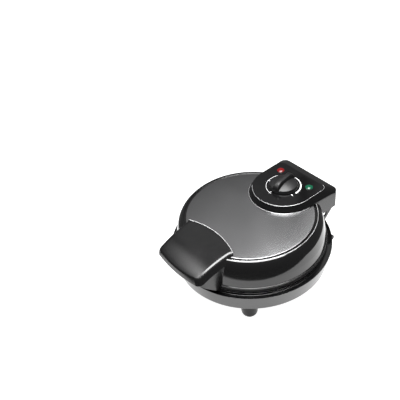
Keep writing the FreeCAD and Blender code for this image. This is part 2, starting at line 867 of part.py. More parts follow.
def make_leaf_screws():
    """Screws through the leaves into the lid's boss."""
    screws = []
    for x, z in leaf_screw_places():
        seat = Vector(x, leaf_front + leaf_thickness, z)
        shank = rod(screw_radius, seat, Vector(x, leaf_front - screw_grip, z))
        head = rod(screw_head_radius, seat, seat + Vector(0, screw_head_height, 0))
        screws.append(joined([shank, head]))
    return Part.makeCompound(screws)


# Handle
def handle_plan(inset):
    """Plan of the handle: an inner edge bowed over the disc, tapering sides and a bowed outer end."""
    wide = handle_half_width - inset
    narrow = wide - handle_taper
    inner_side = handle_inner - handle_inner_bow - inset
    outer_side = handle_end + handle_outer_bow + inset
    corner = handle_corner - inset
    slant = Vector(wide - narrow, inner_side - outer_side, 0).normalize()
    right_low = Vector(narrow, outer_side, 0)
    right_start = right_low + slant * corner
    right_end = right_low - Vector(corner, 0, 0) + Vector(0, -handle_outer_bow * corner / narrow, 0)
    right_mid = ((right_start + right_end) / 2 + right_low) / 2
    left = [Vector(-point.x, point.y, 0) for point in (right_start, right_mid, right_end)]
    inner_left = Vector(-wide, inner_side, 0)
    inner_right = Vector(wide, inner_side, 0)
    edges = [
        Part.Arc(inner_left, Vector(0, handle_inner - inset, 0), inner_right).toShape(),
        Part.LineSegment(inner_right, right_start).toShape(),
        Part.Arc(right_start, right_mid, right_end).toShape(),
        Part.Arc(right_end, Vector(0, handle_end + inset, 0), left[2]).toShape(),
        Part.Arc(left[2], left[1], left[0]).toShape(),
        Part.LineSegment(left[0], inner_left).toShape()]
    return Part.Face(Part.Wire(edges))


def handle_curve(drop):
    """Drooping side curve of the handle, lowered by a drop."""
    start = Vector(0, handle_inner + handle_inner_bow, handle_top - drop)
    middle = Vector(0, (handle_inner + handle_end) / 2, handle_top - handle_mid_drop - drop)
    tip = Vector(0, handle_end - handle_inner_bow, handle_top - handle_droop - drop)
    return Part.Arc(start, middle, tip)


def handle_level(y, drop):
    """Height of the drooping side curve at a plan depth."""
    circle = handle_curve(drop).toShape().Curve
    return circle.Center.z + math.sqrt(circle.Radius ** 2 - (y - circle.Center.y) ** 2)


def handle_flank(sink):
    """Room outside the visor's leaning right side, moved in by a sink."""
    inner_side = handle_inner - handle_inner_bow
    outer_side = handle_end + handle_outer_bow
    top_width = handle_half_width - handle_flare
    brow = Vector(top_width, inner_side, handle_level(inner_side, 0.0))
    tip = Vector(top_width - handle_taper, outer_side, handle_level(outer_side, 0.0))
    hem = Vector(handle_half_width, inner_side, handle_level(inner_side, handle_cover_depth))
    along = tip - brow
    down = hem - brow
    outward = along.cross(down).normalize()
    spots = [brow - along - down, tip + along - down, tip + along + down * 2, brow - along + down * 2]
    sheet = Part.Face(Part.makePolygon(spots + spots[:1]))
    return sheet.extrude(outward * handle_half_width).translated(-outward * sink)


def handle_slab(drop_high, drop_low, inset):
    """Handle volume between two copies of its drooping top curve, inside an inset plan."""
    span = handle_half_width * 2
    top = handle_curve(drop_high)
    low = handle_curve(drop_low)
    edges = [top.toShape(), Part.LineSegment(top.EndPoint, low.EndPoint).toShape(), low.toShape(),
             Part.LineSegment(low.StartPoint, top.StartPoint).toShape()]
    side = Part.Face(Part.Wire(Part.__sortEdges__(edges)))
    slab = side.extrude(Vector(2 * span, 0, 0)).translated(Vector(-span, 0, 0))
    column = handle_plan(inset).extrude(Vector(0, 0, 2 * handle_top))
    return slab.common(column)


def make_handle_cover():
    """Wide gloss visor of the handle: a curved tray with leaning sides, open below."""
    flank = handle_flank(0.0)
    inner_flank = handle_flank(handle_skin)
    outside = handle_slab(0.0, handle_cover_depth, 0.0).cut(flank).cut(mirrored(flank)).cut(lid_form())
    inside = handle_slab(handle_skin, handle_cover_depth + handle_skin, handle_skin)
    hollow = inside.cut(inner_flank).cut(mirrored(inner_flank)).cut(handle_posts(handle_post_radius))
    pilot = handle_posts(screw_radius).common(handle_slab(handle_skin, 2 * handle_cover_depth, 0.0))
    return outside.cut(hollow).cut(pilot)


def handle_posts(radius):
    """Two upright columns where screws tie the handle's two halves together."""
    y = handle_end + handle_post_inset
    return Part.makeCompound([drum(radius, 0, handle_top, x, y) for x in (-handle_post_x, handle_post_x)])


def handle_room(lift, level):
    """Room between the handle's floor, lifted by a lift, and a level, from under the lid past the handle."""
    span = handle_half_width * 2
    heel = -(lid_rim_radius - handle_heel)
    tail = handle_end - handle_inner_bow
    floor_low = lid_lip + handle_root_lift + lift
    floor_high = floor_low + handle_floor_rise * (heel - tail)
    side = face(sideways, [(0, floor_low), (heel, floor_low), (tail, floor_high), (tail, level), (0, level)])
    return side.extrude(Vector(2 * span, 0, 0)).translated(Vector(-span, 0, 0))


def make_handle_shell():
    """Lower shell of the handle: a wedge-shaped tray with a lip that closes the visor from below."""
    deep = handle_top - lid_lip
    slab = handle_slab(handle_cover_depth, deep, handle_shell_inset)
    under_lip = handle_slab(handle_cover_depth + handle_lip, handle_top, -handle_skin)
    outside = slab.cut(handle_room(0.0, 0.0).common(under_lip))
    inside = handle_slab(handle_cover_depth - handle_skin, deep, handle_shell_inset + handle_skin)
    hollow = inside.common(handle_room(handle_skin, handle_top + handle_droop))
    tray = outside.cut(hollow.cut(handle_posts(handle_post_radius)))
    bored = tray.cut(handle_posts(screw_radius + screw_clearance))
    wells = handle_posts(screw_head_radius + screw_clearance).common(handle_wells())
    return bored.cut(wells).cut(lid_body())


def handle_wells():
    """Room below the screw heads in the handle."""
    seat = handle_level(handle_end, handle_cover_depth) + handle_screw_lift
    return block(-handle_half_width, handle_half_width, handle_end, 0, 0, seat)


def make_handle_screws():
    """Two screws from below that draw the handle's halves together."""
    y = handle_end + handle_post_inset
    seat = handle_level(handle_end, handle_cover_depth) + handle_screw_lift
    return Part.makeCompound([screw(seat, handle_screw_length, x, y)
                              for x in (-handle_post_x, handle_post_x)])


def main():
    """Make every piece in place and write one file for each."""
    element = heating_element()
    lower_plate = mould_plate(plate_radius).translated(Vector(0, 0, plate_top))
    upper_plate = mould_plate(upper_plate_radius).mirror(Vector(), Vector(0, 0, 1))
    lower_mould = ring_mould()
    upper_mould = lower_mould.mirror(Vector(), Vector(0, 0, 1))
    bracket = make_bracket()
    hook = make_cord_hook()
    leaf = make_hinge_leaf()
    pieces = {
        "base_housing": make_base_housing(),
        "bottom_cover": make_bottom_cover(),
        "bottom_cover_screws": make_cover_screws(),
        "lower_mould_plate": lower_plate,
        "lower_plate_screws": plate_screws(lower_seat - screw_pad_thickness, 1),
        "lower_heating_element": element.translated(Vector(0, 0, lower_element_z)),
        "lower_heat_shield": heat_shield(lower_shield_top - shield_thickness),
        "lower_terminal_block": terminal_block(lower_element_z),
        "base_wiring": make_base_wiring(),
        "cord_gland": make_cord_gland(),
        "hinge_bracket_right": bracket,
        "hinge_bracket_left": mirrored(bracket),
        "cord_hook_right": hook,
        "cord_hook_left": mirrored(hook),
        "hinge_pin": make_hinge_pin(),
        "hinge_spacer": make_hinge_spacer(),
        "lid_housing": make_lid_housing(),
        "lid_bezel": make_lid_bezel(),
        "lid_disc": make_lid_disc(),
        "upper_mould_plate": upper_plate.translated(Vector(0, 0, upper_face)),
        "upper_plate_screws": plate_screws(upper_seat + screw_pad_thickness, -1),
        "upper_heating_element": element.translated(Vector(0, 0, upper_element_z)),
        "upper_heat_shield": heat_shield(upper_shield_low),
        "upper_terminal_block": terminal_block(upper_element_z),
        "lid_wiring": make_lid_wiring(),
        "thermal_fuse": make_thermal_fuse(),
        "control_panel": make_control_panel(),
        "hinge_skirt": make_hinge_skirt(),
        "hinge_leaf_right": leaf,
        "hinge_leaf_left": mirrored(leaf),
        "hinge_leaf_screws": make_leaf_screws(),
        "thermostat": make_thermostat(),
        "thermostat_nut": make_thermostat_nut(),
        "red_lamp_lens": make_lamp_lens(-lamp_x),
        "green_lamp_lens": make_lamp_lens(lamp_x),
        "lamp_bulbs": Part.makeCompound([make_lamp_holder(-lamp_x), make_lamp_holder(lamp_x)]),
        "handle_cover": make_handle_cover(),
        "handle_lower_shell": make_handle_shell(),
        "handle_screws": make_handle_screws(),
        "thermostat_spindle": make_spindle(),
        "knob": make_knob(),
    }
    foot_offset = foot_circle_radius * math.sqrt(0.5)
    for corner, (side, end) in corners.items():
        place = Vector(side * mould_offset, end * mould_offset, 0)
        pieces["lower_ring_mould_" + corner] = lower_mould.translated(place + Vector(0, 0, plate_top))
        pieces["upper_ring_mould_" + corner] = upper_mould.translated(place + Vector(0, 0, upper_face))
        pieces["foot_" + corner] = make_foot(side * foot_offset, end * foot_offset)
        pieces["foot_pad_" + corner] = make_foot_pad(side * foot_offset, end * foot_offset)
    os.makedirs("parts", exist_ok=True)
    for name, shape in pieces.items():
        placed = shape.translated(Vector(0, body_shift, 0))
        placed.exportStep("parts/" + name + ".step")
        print(name, len(placed.Solids), placed.isValid(), round(placed.Volume))


main()
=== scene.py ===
"""Looks of a table-top donut maker for four rings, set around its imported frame.

Lengths are in millimetres and become metres where a mesh is made. Plan places are measured from the round
body's axis, which the frame gives.
"""

import json
import logging
import math
from dataclasses import dataclass, field
from enum import Enum
from typing import Callable, Sequence

import bmesh
import bpy
from mathutils import Matrix, Vector


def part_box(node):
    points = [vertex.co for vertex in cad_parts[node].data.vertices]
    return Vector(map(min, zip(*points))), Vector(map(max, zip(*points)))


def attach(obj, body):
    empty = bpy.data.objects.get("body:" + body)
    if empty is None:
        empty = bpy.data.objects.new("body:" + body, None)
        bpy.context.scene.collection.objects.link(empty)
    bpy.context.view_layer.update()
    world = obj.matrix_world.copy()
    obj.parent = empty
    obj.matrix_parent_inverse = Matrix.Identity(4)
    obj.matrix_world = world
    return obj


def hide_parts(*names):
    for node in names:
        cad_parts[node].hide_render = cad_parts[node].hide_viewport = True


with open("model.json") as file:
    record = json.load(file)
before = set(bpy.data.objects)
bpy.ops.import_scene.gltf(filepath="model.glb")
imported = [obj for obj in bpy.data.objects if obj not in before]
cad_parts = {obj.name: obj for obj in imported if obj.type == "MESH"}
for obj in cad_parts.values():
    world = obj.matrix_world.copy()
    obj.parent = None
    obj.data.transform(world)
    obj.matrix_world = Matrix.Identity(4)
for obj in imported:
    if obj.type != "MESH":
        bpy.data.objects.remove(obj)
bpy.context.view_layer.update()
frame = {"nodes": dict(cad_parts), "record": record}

logging.basicConfig(level=logging.INFO, format="%(message)s")
log = logging.getLogger("donut_maker")

MM = 0.001
TURN = 2 * math.pi
CREASE = 32.0
BEAD_CREASE = 60.0
CORNER_STEPS = 3
TINY = 1e-6
ROUND_STEPS = 256
FULL = (0.0, 1.0)
NUMBER = "NodeSocketFloat"
BRUSHING = "brushing"
BUMP_DISTANCE = 0.0002
DUST_COLOUR = (0.5, 0.48, 0.45)
WHITE = (1.0, 1.0, 1.0, 1.0)
BLACK = (0.0, 0.0, 0.0, 1.0)
Point = tuple[float, float]
Place = tuple[float, float, float]
Colour = tuple[float, float, float]


class Body(Enum):
    """The bodies of the frame."""

    BASE = "base"
    LID = "lid"
    KNOB = "knob"


class Side(Enum):
    """Left and right, as the sign of a place across."""

    LEFT = -1
    RIGHT = 1


class End(Enum):
    """Front and back, as the sign of a place along."""

    FRONT = -1
    BACK = 1


class Slot(Enum):
    """The finishes that the record names."""

    GLOSS_BLACK = "gloss_black"
    SATIN_BLACK = "satin_black"
    FOOT_PLASTIC = "foot_plastic"
    RUBBER = "rubber"
    KNOB_PLASTIC = "knob_plastic"
    BRUSHED_STEEL = "brushed_steel"
    NON_STICK = "non_stick"
    HINGE_STEEL = "hinge_steel"
    SCREW_STEEL = "screw_steel"
    ELEMENT_SHEATH = "element_sheath"
    SHIELD_SHEET = "shield_sheet"
    CERAMIC = "ceramic"
    WIRE_SLEEVE = "wire_sleeve"
    THERMOSTAT_CASE = "thermostat_case"
    RED_LENS = "red_lens"
    GREEN_LENS = "green_lens"
    LAMP_GLASS = "lamp_glass"


class Look(Enum):
    """Finishes that the record doesn't name."""

    DARK_SATIN = "dark_satin"
    PANEL_GLOSS = "panel_gloss"
    SOFT_GLOSS = "soft_gloss"
    # painted highlight: near-white metal for the thin beads that draw highlight lines along edges
    PAINTED_HIGHLIGHT_LIP = "painted_highlight_lip"
    WHITE_PRINT = "white_print"
    PALE_FLOOR = "pale_floor"


class Effect(Enum):
    """Surface effects that several finishes share."""

    GRAIN = "fine_grain"
    SMUDGES = "handling_smudges"
    EDGE_WEAR = "edge_wear"
    DUST = "settled_dust"
    BRUSH_LINES = "brush_lines"


def axis_place() -> Point:
    """Plan place of the round body's axis, from the disc on the lid."""
    low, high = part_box("lid_disc")
    return ((low.x + high.x) / 2 / MM, (low.y + high.y) / 2 / MM)


AXIS = axis_place()


# Mesh making
@dataclass(frozen=True)
class Corner:
    """A corner of a drawn outline, with the radius that rounds it."""

    across: float
    up: float
    radius: float = 0.0


def softened(corners: Sequence[Corner], closed: bool = True, step_degrees: float = 5.0) -> list[Point]:
    """Points along an outline with its corners rounded.

    Args:
        corners: the outline's corners in order.
        closed: whether the last corner joins the first.
        step_degrees: how far each step turns round a corner.

    Returns:
        The points of the outline.
    """
    points: list[Point] = []
    count = len(corners)
    for index, corner in enumerate(corners):
        here = Vector((corner.across, corner.up))
        at_end = not closed and index in (0, count - 1)
        if corner.radius <= 0 or at_end:
            points.append((here.x, here.y))
            continue
        before = corners[index - 1]
        after = corners[(index + 1) % count]
        back = (Vector((before.across, before.up)) - here).normalized()
        ahead = (Vector((after.across, after.up)) - here).normalized()
        half = back.angle(ahead) / 2
        centre = here + (back + ahead).normalized() * (corner.radius / math.sin(half))
        start = here + back * (corner.radius / math.tan(half)) - centre
        end = here + ahead * (corner.radius / math.tan(half)) - centre
        sweep = start.angle_signed(end)
        steps = max(CORNER_STEPS, round(math.degrees(abs(sweep)) / step_degrees))
        for step in range(steps + 1):
            turn = -sweep * step / steps
            spoke = Vector((start.x * math.cos(turn) - start.y * math.sin(turn),
                            start.x * math.sin(turn) + start.y * math.cos(turn)))
            points.append((centre.x + spoke.x, centre.y + spoke.y))
    return points


def made(name: str, places: Sequence[Place], faces: Sequence[Sequence[int]],
         crease: float = CREASE) -> bpy.types.Object:
    """Object from places measured off the body's axis.

    Args:
        name: the piece's name.
        places: its points.
        faces: its faces, as rows of point numbers.
        crease: edges sharper than this many degrees stay sharp.

    Returns:
        The new object, smooth between its creases.
    """
    mesh = bpy.data.meshes.new(name)
    mesh.from_pydata([((x + AXIS[0]) * MM, (y + AXIS[1]) * MM, z * MM) for x, y, z in places], [], faces)
    work = bmesh.new()
    work.from_mesh(mesh)
    bmesh.ops.remove_doubles(work, verts=work.verts, dist=TINY)
    bmesh.ops.recalc_face_normals(work, faces=work.faces)
    work.to_mesh(mesh)
    work.free()
    for polygon in mesh.polygons:
        polygon.use_smooth = True
    mesh.set_sharp_from_angle(angle=math.radians(crease))
    piece = bpy.data.objects.new(name, mesh)
    bpy.context.scene.collection.objects.link(piece)
    return piece


def lathe(name: str, profile: Sequence[Point], centre: Point = (0.0, 0.0), segments: int = 192,
          closed: bool = True) -> bpy.types.Object:
    """Piece turned about an upright axis.

    Args:
        name: the piece's name.
        profile: (radius, height) points of its section.
        centre: plan place of the axis.
        segments: how many steps round the turn.
        closed: whether the section's last point joins its first.

    Returns:
        The new object.
    """
    places: list[Place] = []
    rows: list[list[int]] = []
    for radius, height in profile:
        count = segments if radius > TINY else 1
        rows.append(list(range(len(places), len(places) + count)))
        for step in range(count):
            turn = TURN * step / segments
            places.append((centre[0] + radius * math.cos(turn), centre[1] + radius * math.sin(turn), height))
    faces: list[tuple[int, ...]] = []
    pairs = list(zip(rows, rows[1:])) + ([(rows[-1], rows[0])] if closed else [])
    for low, high in pairs:
        if len(low) == 1 and len(high) == 1:
            continue
        for step in range(segments):
            after = (step + 1) % segments
            if len(low) == 1:
                faces.append((low[0], high[after], high[step]))
            elif len(high) == 1:
                faces.append((low[step], low[after], high[0]))
            else:
                faces.append((low[step], low[after], high[after], high[step]))
    return made(name, places, faces)


def stacked(name: str, loops: Sequence[Sequence[Place]], cap_low: bool = True, cap_high: bool = True,
            crease: float = CREASE) -> bpy.types.Object:
    """Piece skinned over a stack of outlines that have the same number of points.

    Args:
        name: the piece's name.
        loops: the outlines from one end to the other.
        cap_low: whether the first outline is closed by a face.
        cap_high: whether the last outline is closed by a face.
        crease: edges sharper than this many degrees stay sharp.

    Returns:
        The new object.
    """
    count = len(loops[0])
    places = [place for loop in loops for place in loop]
    faces: list[Sequence[int]] = []
    for level in range(len(loops) - 1):
        low, high = level * count, (level + 1) * count
        for step in range(count):
            after = (step + 1) % count
            faces.append((low + step, low + after, high + after, high + step))
    if cap_low:
        faces.append(list(range(count))[::-1])
    if cap_high:
        faces.append(list(range(len(places) - count, len(places))))
    return made(name, places, faces, crease)


def slab(name: str, top: Sequence[Sequence[Place]], low: Sequence[Sequence[Place]]) -> bpy.types.Object:
    """Closed sheet between an upper and a lower grid of points.

    Args:
        name: the piece's name.
        top: rows of points of the upper face.
        low: the same rows for the lower face.

    Returns:
        The new object.
    """
    rows, columns = len(top), len(top[0])
    places = [place for row in top for place in row] + [place for row in low for place in row]
    half = rows * columns
    faces: list[Sequence[int]] = []
    for row in range(rows - 1):
        for column in range(columns - 1):
            quad = [row * columns + column, row * columns + column + 1,
                    (row + 1) * columns + column + 1, (row + 1) * columns + column]
            faces.append(quad)
            faces.append([half + corner for corner in quad[::-1]])
    border = [column for column in range(columns)]
    border += [row * columns + columns - 1 for row in range(1, rows)]
    border += [(rows - 1) * columns + column for column in range(columns - 2, -1, -1)]
    border += [row * columns for row in range(rows - 2, 0, -1)]
    for here, after in zip(border, border[1:] + border[:1]):
        faces.append([here, half + here, half + after, after])
    return made(name, places, faces)


def soften_edges(piece: bpy.types.Object, width: float, segments: int = 3, angle: float = CREASE,
                 weld: bool = False) -> bpy.types.Object:
    """Round a piece's sharp edges a little, so that they catch the light.

    Args:
        piece: the piece to soften.
        width: the rounding's width.
        segments: how many steps across it.
        angle: edges sharper than this many degrees are rounded.
        weld: whether points that lie on each other are joined first.

    Returns:
        The same piece.
    """
    if weld:
        joint = piece.modifiers.new("joined_points", "WELD")
        joint.merge_threshold = TINY
    bevel = piece.modifiers.new("soft_edges", "BEVEL")
    bevel.width = width * MM
    bevel.segments = segments
    bevel.limit_method = "ANGLE"
    bevel.angle_limit = math.radians(angle)
    even = piece.modifiers.new("even_shading", "WEIGHTED_NORMAL")
    even.keep_sharp = False
    return piece


def bead(name: str, path: Sequence[Point], height: Callable[[Point], float], radius: float,
         steps: int = 8) -> bpy.types.Object:
    """Thin half-round bead laid along a path.

    Args:
        name: the piece's name.
        path: plan points of its middle line.
        height: level of its underside at a plan point.
        radius: the bead's radius.
        steps: how many steps over its round.

    Returns:
        The new object.
    """
    loops: list[list[Place]] = []
    for index, (x, y) in enumerate(path):
        before, after = path[max(index - 1, 0)], path[min(index + 1, len(path) - 1)]
        along = Vector((after[0] - before[0], after[1] - before[1])).normalized()
        level = height((x, y))
        loop = []
        for step in range(steps + 1):
            turn = math.pi * step / steps
            aside, rise = radius * math.cos(turn), radius * math.sin(turn)
            loop.append((x - along.y * aside, y + along.x * aside, level + rise))
        loops.append(loop)
    return stacked(name, loops, crease=BEAD_CREASE)


def ring_through(first: Point, second: Point, third: Point) -> tuple[Point, float]:
    """Circle through three points.

    Args:
        first: one point.
        second: another point.
        third: a third point, not in line with them.

    Returns:
        The circle's centre and its radius.
    """
    (ax, ay), (bx, by), (cx, cy) = first, second, third
    twice = 2 * (ax * (by - cy) + bx * (cy - ay) + cx * (ay - by))
    a, b, c = ax * ax + ay * ay, bx * bx + by * by, cx * cx + cy * cy
    x = (a * (by - cy) + b * (cy - ay) + c * (ay - by)) / twice
    y = (a * (cx - bx) + b * (ax - cx) + c * (bx - ax)) / twice
    return (x, y), math.hypot(ax - x, ay - y)


# Shader node groups
@dataclass
class Graph:
    """A node tree and short ways to add to it."""

    tree: bpy.types.NodeTree

    def node(self, kind: str, **settings: object) -> bpy.types.Node:
        """Add a node.

        Args:
            kind: the node's type name.
            settings: values for the node's own properties.

        Returns:
            The new node.
        """
        new = self.tree.nodes.new(kind)
        for key, value in settings.items():
            setattr(new, key, value)
        return new

    def wire(self, source: bpy.types.NodeSocket, target: bpy.types.NodeSocket) -> None:
        """Join two sockets."""
        self.tree.links.new(source, target)

    def sum(self, operation: str, first: object, second: object = 0.0, third: object = 0.0) -> bpy.types.NodeSocket:
        """Add a math node.

        Args:
            operation: the sum's name.
            first: a socket or number.
            second: a socket or number.
            third: a socket or number.

        Returns:
            The result's socket.
        """
        new = self.node("ShaderNodeMath", operation=operation)
        for place, value in enumerate((first, second, third)):
            if isinstance(value, bpy.types.NodeSocket):
                self.wire(value, new.inputs[place])
            else:
                new.inputs[place].default_value = value
        return new.outputs[0]

    def noise(self, detail: float, place: bpy.types.NodeSocket, scale: bpy.types.NodeSocket) -> bpy.types.Node:
        """Add a noise texture.

        Args:
            detail: how many finer layers it has.
            place: socket that gives the place on the surface.
            scale: socket that gives its scale.

        Returns:
            The new node.
        """
        new = self.node("ShaderNodeTexNoise")
        new.inputs["Detail"].default_value = detail
        self.wire(place, new.inputs["Vector"])
        self.wire(scale, new.inputs["Scale"])
        return new

    def span(self, value: bpy.types.NodeSocket, source: Point, target: Point = FULL) -> bpy.types.NodeSocket:
        """Map a value from one span to another, held at the ends.

        Args:
            value: the socket to map.
            source: the span it comes in.
            target: the span it leaves in.

        Returns:
            The mapped socket.
        """
        new = self.node("ShaderNodeMapRange", clamp=True)
        self.wire(value, new.inputs["Value"])
        for name, number in zip(("From Min", "From Max", "To Min", "To Max"), (*source, *target)):
            new.inputs[name].default_value = number
        return new.outputs["Result"]


@dataclass
class Effects:
    """Surface effects that several finishes share, each built once as a node group."""

    groups: dict[Effect, bpy.types.NodeTree] = field(default_factory=dict)
    grain_detail: float = 4.0
    speck_span: Point = (0.58, 0.72)
    smudge_detail: float = 5.0
    smudge_warp: float = 0.8
    smudge_span: Point = (0.35, 0.7)
    wear_detail: float = 3.0
    edge_span: Point = (0.53, 0.62)
    rub_span: Point = (0.4, 0.65)
    dust_detail: float = 6.0
    upward_span: Point = (0.3, 1.0)
    film_span: Point = (0.42, 0.75)
    film_share: Point = (0.15, 1.0)
    brush_detail: float = 3.0
    streak_span: Point = (0.3, 0.7)

    def start(self, effect: Effect, inputs: Sequence[tuple[str, float]], outputs: Sequence[str]) -> Graph:
        """Begin a group with named number sockets.

        Args:
            effect: the effect that it makes.
            inputs: names and usual values of what goes in.
            outputs: names of what comes out.

        Returns:
            The group's graph, with its input and output nodes in place.
        """
        tree = bpy.data.node_groups.new(effect.value, "ShaderNodeTree")
        for label, usual in inputs:
            socket = tree.interface.new_socket(label, in_out="INPUT", socket_type=NUMBER)
            socket.default_value = usual
        for label in outputs:
            tree.interface.new_socket(label, in_out="OUTPUT", socket_type=NUMBER)
        tree.nodes.new("NodeGroupInput")
        tree.nodes.new("NodeGroupOutput")
        self.groups[effect] = tree
        return Graph(tree)

    @staticmethod
    def ends(graph: Graph) -> tuple[bpy.types.Node, bpy.types.Node]:
        """Input and output nodes of a group."""
        return graph.tree.nodes["Group Input"], graph.tree.nodes["Group Output"]

    def build(self) -> None:
        """Build every effect."""
        self.build_grain()
        self.build_smudges()
        self.build_edge_wear()
        self.build_dust()
        self.build_brushing()

    def build_grain(self) -> None:
        """Fine pebbled skin of moulded plastic or a sprayed coat."""
        graph = self.start(Effect.GRAIN, [("Scale", 900.0), ("Roughness", 0.6)], ["Height", "Speckle"])
        given, result = self.ends(graph)
        where = graph.node("ShaderNodeTexCoord")
        noise = graph.noise(self.grain_detail, where.outputs["Object"], given.outputs["Scale"])
        graph.wire(given.outputs["Roughness"], noise.inputs["Roughness"])
        graph.wire(noise.outputs["Fac"], result.inputs["Height"])
        graph.wire(graph.span(noise.outputs["Fac"], self.speck_span), result.inputs["Speckle"])

    def build_smudges(self) -> None:
        """Uneven gloss from wiping and handling."""
        graph = self.start(Effect.SMUDGES, [("Scale", 30.0), ("Low", 0.1), ("High", 0.2)], ["Roughness"])
        given, result = self.ends(graph)
        where = graph.node("ShaderNodeTexCoord")
        noise = graph.noise(self.smudge_detail, where.outputs["Object"], given.outputs["Scale"])
        noise.inputs["Distortion"].default_value = self.smudge_warp
        share = graph.span(noise.outputs["Fac"], self.smudge_span)
        reach = graph.sum("SUBTRACT", given.outputs["High"], given.outputs["Low"])
        graph.wire(graph.sum("MULTIPLY_ADD", share, reach, given.outputs["Low"]), result.inputs["Roughness"])

    def build_edge_wear(self) -> None:
        """Lighter rub marks where an edge stands out."""
        graph = self.start(Effect.EDGE_WEAR, [("Amount", 0.3), ("Scale", 250.0)], ["Mask"])
        given, result = self.ends(graph)
        shape = graph.node("ShaderNodeNewGeometry")
        where = graph.node("ShaderNodeTexCoord")
        noise = graph.noise(self.wear_detail, where.outputs["Object"], given.outputs["Scale"])
        edge = graph.span(shape.outputs["Pointiness"], self.edge_span)
        rubbed = graph.sum("MULTIPLY", edge, graph.span(noise.outputs["Fac"], self.rub_span))
        graph.wire(graph.sum("MULTIPLY", rubbed, given.outputs["Amount"]), result.inputs["Mask"])

    def build_dust(self) -> None:
        """A thin film that settles on what faces up."""
        graph = self.start(Effect.DUST, [("Amount", 0.05), ("Scale", 140.0)], ["Mask"])
        given, result = self.ends(graph)
        where = graph.node("ShaderNodeTexCoord")
        noise = graph.noise(self.dust_detail, where.outputs["Object"], given.outputs["Scale"])
        apart = graph.node("ShaderNodeSeparateXYZ")
        graph.wire(where.outputs["Normal"], apart.inputs["Vector"])
        facing = graph.span(apart.outputs["Z"], self.upward_span)
        film = graph.sum("MULTIPLY", facing, graph.span(noise.outputs["Fac"], self.film_span, self.film_share))
        graph.wire(graph.sum("MULTIPLY", film, given.outputs["Amount"]), result.inputs["Mask"])

    def build_brushing(self) -> None:
        """Straight brush lines along X in sheet metal."""
        graph = self.start(Effect.BRUSH_LINES, [("Along", 18.0), ("Across", 2600.0)], ["Height", "Streak"])
        given, result = self.ends(graph)
        where = graph.node("ShaderNodeTexCoord")
        apart = graph.node("ShaderNodeSeparateXYZ")
        graph.wire(where.outputs["Object"], apart.inputs["Vector"])
        together = graph.node("ShaderNodeCombineXYZ")
        for axis, stretch in (("X", "Along"), ("Y", "Across"), ("Z", "Across")):
            graph.wire(graph.sum("MULTIPLY", apart.outputs[axis], given.outputs[stretch]), together.inputs[axis])
        noise = graph.node("ShaderNodeTexNoise")
        noise.inputs["Scale"].default_value = 1.0
        noise.inputs["Detail"].default_value = self.brush_detail
        graph.wire(together.outputs["Vector"], noise.inputs["Vector"])
        graph.wire(noise.outputs["Fac"], result.inputs["Height"])
        graph.wire(graph.span(noise.outputs["Fac"], self.streak_span), result.inputs["Streak"])


